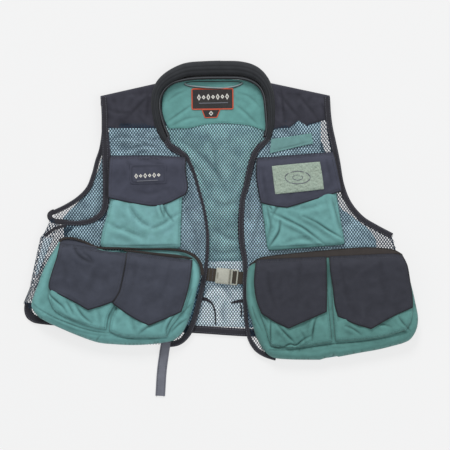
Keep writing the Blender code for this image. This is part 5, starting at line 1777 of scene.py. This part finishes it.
# the first entry has no depth: painted light along the pouch's inner edge, which faces the lamp
RI_FOLDS = [([(252.5, 272), (252, 284), (253, 297), (257, 312)], 0.0, 3.8, 0.6, -0.8),
            ([(270.6, 319), (270.4, 334), (271, 346)], 1.3, 1.0, 0.6, 0.45),
            ([(278, 325), (286, 334), (295, 342.6)], 2.2, 1.3, 1.0, 0.70),
            ([(271.4, 344.6), (279, 345.6), (283, 347), (290, 343.8), (296, 345), (303, 339.6), (311, 335)], 2.6, 1.2,
             1.0, 0.85),
            ([(316, 317.6), (314, 324), (312.6, 332), (312, 340)], 2.2, 1.3, 0.9, 0.70),
            ([(259, 300), (262, 312), (268, 322)], 1.4, 1.4, 0.8, 0.45),
            ([(300, 330), (304, 336), (306, 344)], 0.9, 1.8, 0.8, 0.2)]
RO_FOLDS = [([(345, 325), (353, 328.6), (360.6, 334)], 1.6, 1.3, 0.9, 0.50),
            ([(376, 323.4), (384, 324.4), (391, 326.4)], 1.2, 1.3, 0.9, 0.35),
            ([(335, 296), (336.4, 308), (338, 320)], 1.0, 1.3, 0.8, 0.30),
            ([(398, 316), (402, 322), (408, 328)], 1.4, 1.3, 0.8, 0.40)]


def pouch_z(zl, closed, seed, high=7.4):
    def f(P):
        d = near(P, closed)[0]
        return zl(P) + 0.5 + high * dome(d, 5.5) + crumple(P, 1.1, seed) * np.clip(d / 4, 0, 1)
    return f


POUCH = {}
for nm, out, corner, zl, body, fl_, seed in (
        ("left_outer", PO_LO, (124.6, 259.6), z_lpl, "front_left", LO_FOLDS, 121),
        ("left_inner", PO_LI, (190.4, 267.2), z_lpl, "front_left", LI_FOLDS, 122),
        ("right_inner", PO_RI, (258.6, 267), z_lpr, "front_right", RI_FOLDS, 123),
        ("right_outer", PO_RO, (331.4, 263.4), z_lpr, "front_right", RO_FOLDS, 124)):
    closed = np.vstack([out[mouth_end(out, corner):], out[:1]])
    zf = pouch_z(zl, closed, seed)
    POUCH[nm] = zf
    sheet("pouch_cloth_" + nm, out, zf, TEAL_MID if "left" in nm else TEAL_DEEP, body, step=1.6, thick=0.9, folds=fl_, rings=(0.45, 1.1),
          slot="teal_nylon", replaces=["pouch_" + nm], rests=["lower_pocket_front_" + nm.split("_")[0]])
    inner_ = along_closed(out, 2.4)[mouth_end(out, corner) + 3:-3]
    inner_ = inner_[inside(inner_, out)]
    stitches(body, THREAD_T, inner_, lambda P, zf=zf, fl_=fl_: zf(P) + fold_parts(P, fl_)[0], lift=0.4)

# ---- lower flaps
main_prof = soft_profile(37.4, 46.9, 11)
F_LO = outline([(61.2, 243.4), (92, 247.6), (104, 250.8), (126.6, 252.9)],
               [(126.6, 252.9), (124.8, 264), (122, 278), (119.6, 289), (116, 296.4), (112.4, 301)],
               [(112.4, 301), (102, 304.8), (88.6, 308.8)], [(88.6, 308.8), (72, 299.4), (51.4, 289.4)],
               [(51.4, 289.4), (50.2, 284.6), (53.4, 272), (58, 258), (61.2, 243.4)], step=1.2)
F_LI = outline([(128, 252), (160, 256), (191.6, 260)], [(191.6, 260), (189.6, 278), (185.6, 296), (180.6, 311)],
               [(180.6, 311), (166, 317.4), (149, 324.2)], [(149, 324.2), (132, 315.6), (113.6, 302.6)],
               [(113.6, 302.6), (117.4, 297.4), (121, 290.4), (124, 277), (126.4, 264), (128, 252)], step=1.2)
F_RI = outline([(257, 259.8), (290, 258.2), (325, 256.6)], [(325, 256.6), (325.6, 284), (325.4, 311)],
               [(325.4, 311), (306, 319.4), (288.4, 327.2)], [(288.4, 327.2), (275, 320.8), (262, 312.4)],
               [(262, 312.4), (257.4, 300), (255, 284), (255.6, 270), (257, 259.8)], step=1.2)
F_RO = outline([(329.8, 256.4), (366, 254.8), (391, 253.7), (401, 255.2)], [(401, 255.2), (406, 266), (408.8, 282), (411, 297),
                                                             (411.2, 306.8)],
               [(411.2, 306.8), (392, 315.4), (370.6, 327.6)], [(370.6, 327.6), (354, 322.6), (338.4, 315.4)],
               [(338.4, 315.4), (335.2, 304), (333.4, 288), (331, 272), (329.8, 256.4)], step=1.2)
FLO_FOLDS = [([(74, 245), (77, 252), (83, 258), (92, 262)], 1.5, 2.0, 0.9, 0.35),
             ([(84, 252), (90, 257), (94, 263)], 1.0, 1.8, 0.8, 0.25),
             ([(64, 262), (66, 274), (62, 286)], 0.7, 3.4, 0.7, 0.10),
             ([(96, 270), (92, 282), (88, 294)], 0.7, 4.0, 0.7, 0.08)]
FLI_FOLDS = [([(136, 262), (134, 280), (128, 298)], 0.6, 3.4, 0.8, 0.08),
             ([(170, 266), (166, 284), (158, 300)], 0.6, 4.0, 0.8, 0.08)]
FRI_FOLDS = [([(268, 272), (270, 290), (276, 308)], 0.8, 3.0, 0.8, 0.14),
             ([(300, 264), (298, 286), (296, 306)], 0.6, 4.0, 0.8, 0.08)]
FRO_FOLDS = [([(340, 264), (344, 284), (348, 304)], 0.7, 3.0, 0.8, 0.10),
             ([(380, 262), (382, 282), (386, 300)], 0.6, 4.0, 0.8, 0.08)]
for nm, out, corner, line, mat, body, cad, fl_, seed in (
        ("left_outer", F_LO, (126.6, 252.9), HINGE_L, CHARCOAL_M, "flap_lo", "flap_left_outer", FLO_FOLDS, 131),
        ("left_inner", F_LI, (191.6, 260), HINGE_L, CHARCOAL_M, "flap_li", "flap_left_inner", FLI_FOLDS, 132),
        ("right_inner", F_RI, (325, 256.6), HINGE_R, CHARCOAL_R, "flap_ri", "flap_right_inner", FRI_FOLDS, 133),
        ("right_outer", F_RO, (401, 255.2), HINGE_R, CHARCOAL_R, "flap_ro", "flap_right_outer", FRO_FOLDS, 134)):
    zf = flap_z(line, main_prof, seed)
    flap_piece("flap_cloth_" + nm, out, zf, mat, body, [cad], fl_, free=free_run(out, corner),
               rests=["pouch_cloth_" + nm])
    a, b = (out[2], out[mouth_end(out, corner) - 2])
    t = (line[1] - line[0]) / np.linalg.norm(line[1] - line[0])
    n = np.array([-t[1], t[0]])
    stitches(body, THREAD_D, resample(np.array([a + n * 2.6, b + n * 2.6]), 1.7), zf, lift=0.5)

# ------------------------------------------------------------------ tail strap
S_PATH = cr([(166, 334, 12.8), (165.8, 340, 12.2), (165.2, 346, 10.6), (164.2, 352, 7.4), (163.2, 359, 3.6),
             (162.2, 366, 2.2), (161.2, 376, 1.9), (160.6, 386, 1.7), (160.0, 396.6, 1.7)], 1.2)
strap = sweep("tail_strap_webbing", world(S_PATH[:, :2], S_PATH[:, 2] + 0.15 * waves(S_PATH[:, :2], 14, 141)),
              strap_section(4.9 * U, 0.0016), STRAP, "front_left", slot="strap", replaces=["tail_strap"])
L_STRAP = float(np.linalg.norm(np.diff(world(S_PATH[:, :2], S_PATH[:, 2]), axis=0), axis=1).sum())
for dx in (-3.6, 3.6):
    L2 = S_PATH[:, :2] + (dx, 0)
    stitches("front_left", THREAD_D, L2[3:], lambda R, L2=L2: np.interp(near(R, L2)[1], np.linspace(0, 1, len(L2)),
                                                                       S_PATH[:, 2] + 0.8), lift=0.0)

# ------------------------------------------------------------------ belt and buckle
BELT = Matrix.Translation((X(230.3), Y(277.0), 0)) @ Matrix.Rotation(math.radians(-6.3), 4, "Z")


def belt3(pts):
    """Points (x, y, z) in the belt's own frame, mm, to metres."""
    return np.array([tuple(BELT @ Vector((x * 0.001, y * 0.001, z * 0.001))) for x, y, z in pts])


web_l = sweep("belt_webbing_cloth_left", belt3([(x, 0, 10.2) for x in np.linspace(-322, -24, 150)]),
              strap_section(0.0125, 0.0017), WEBBING, "back", slot="webbing", replaces=["belt_webbing_left"])
web_r = sweep("belt_webbing_cloth_right", belt3([(x, 0, 10.2) for x in np.linspace(7.2, 188, 92)]),
              strap_section(0.0121, 0.0017), WEBBING, "plug", slot="webbing", replaces=["belt_webbing_right"])
# the webbing's turned end comes back over the plug's bar
sweep("belt_webbing_turn", belt3([(3.2, 0, 10.6), (5.2, 0, 12.9), (7.8, 0, 14.0), (10.4, 0, 12.9), (13, 0, 11.9),
                                  (19, 0, 12.1), (30, 0, 12.0), (34, 0, 11.9)]),
      strap_section(0.0119, 0.0015), WEBBING, "plug", slot="webbing")


def belt_line(pts, body, mat):
    P = belt3(pts)
    Q = np.column_stack([P[:, 0] / U + GX, GY - P[:, 1] / U])
    stitches(body, mat, Q, lambda R: np.interp(near(R, Q)[1], np.linspace(0, 1, len(Q)), P[:, 2] * 1000), lift=0.15,
             pitch=1.3, length=0.85)


for xx in (24, 31):
    belt_line([(xx, y, 12.8) for y in np.linspace(-10, 10, 12)], "plug", THREAD_G)
for xx in (-34, -41):
    belt_line([(xx, y, 11.1) for y in np.linspace(-10, 10, 12)], "back", THREAD_G)


def rounded_plate(name, lo, hi, r, mat, body, slot, bevel=0.4):
    """A moulded plate with rounded corners and a softened top edge, in the belt's own frame, mm."""
    (x0, y0, z0), (x1, y1, z1) = lo, hi
    loops = []
    for inset, z in ((0, z0), (0, z1 - bevel), (bevel * 0.35, z1 - bevel * 0.3), (bevel, z1)):
        pts = []
        for qx, qy, a0 in ((x1 - r, y0 + r, -90), (x1 - r, y1 - r, 0), (x0 + r, y1 - r, 90), (x0 + r, y0 + r, 180)):
            for a in (0, 22.5, 45, 67.5, 90):
                t = math.radians(a0 + a)
                pts.append((qx + (r - inset) * math.cos(t), qy + (r - inset) * math.sin(t), z))
        loops.append(belt3(pts))
    k = len(loops[0])
    V = np.vstack(loops)
    F = []
    for i in range(len(loops) - 1):
        for j in range(k):
            F.append([i * k + j, i * k + (j + 1) % k, (i + 1) * k + (j + 1) % k, (i + 1) * k + j])
    F.append([3 * k + j for j in range(k)])
    F.append([j for j in range(k)][::-1])
    return make(name, V, F, mat, body, slot=slot, sharp=50)


for node in ("buckle_socket", "buckle_plug", "release_arm_upper", "release_arm_lower"):
    ob = frame["nodes"][node]
    for sl in ob.material_slots:
        sl.material = OLIVE if "release" not in node else OLIVE_DARK
rounded_plate("socket_cover", (-26.4, -13.0, 13.6), (-3.4, 13.0, 14.7), 2.2, OLIVE, "back", "olive_plastic", 0.5)
rounded_plate("socket_cover_panel", (-22.5, -9.4, 14.5), (-7.4, 9.4, 15.0), 1.6, OLIVE, "back", "olive_plastic", 0.3)
rounded_plate("socket_mouth_lip", (-2.4, -14.4, 13.4), (-0.4, 14.4, 14.9), 0.8, OLIVE_DARK, "back", "olive_plastic",
              0.4)
for k in range(3):
    rounded_plate(f"socket_grip_{k}", (-25.6 + k * 1.0, -6, 14.55), (-25.0 + k * 1.0, 6, 14.95), 0.25, OLIVE_DARK,
                  "back", "olive_plastic", 0.15)
for k, xx in enumerate((0.9, 2.5)):
    rounded_plate(f"plug_rib_{k}", (xx, -14.0, 13.2), (xx + 0.9, 14.0, 14.2), 0.4, OLIVE, "plug", "olive_plastic", 0.3)
rounded_plate("plug_crossbar", (12.2, -13.6, 12.9), (14.3, 13.6, 14.9), 0.9, OLIVE, "plug", "olive_plastic", 0.6)

# ------------------------------------------------------------------ finish
finish_stitches()
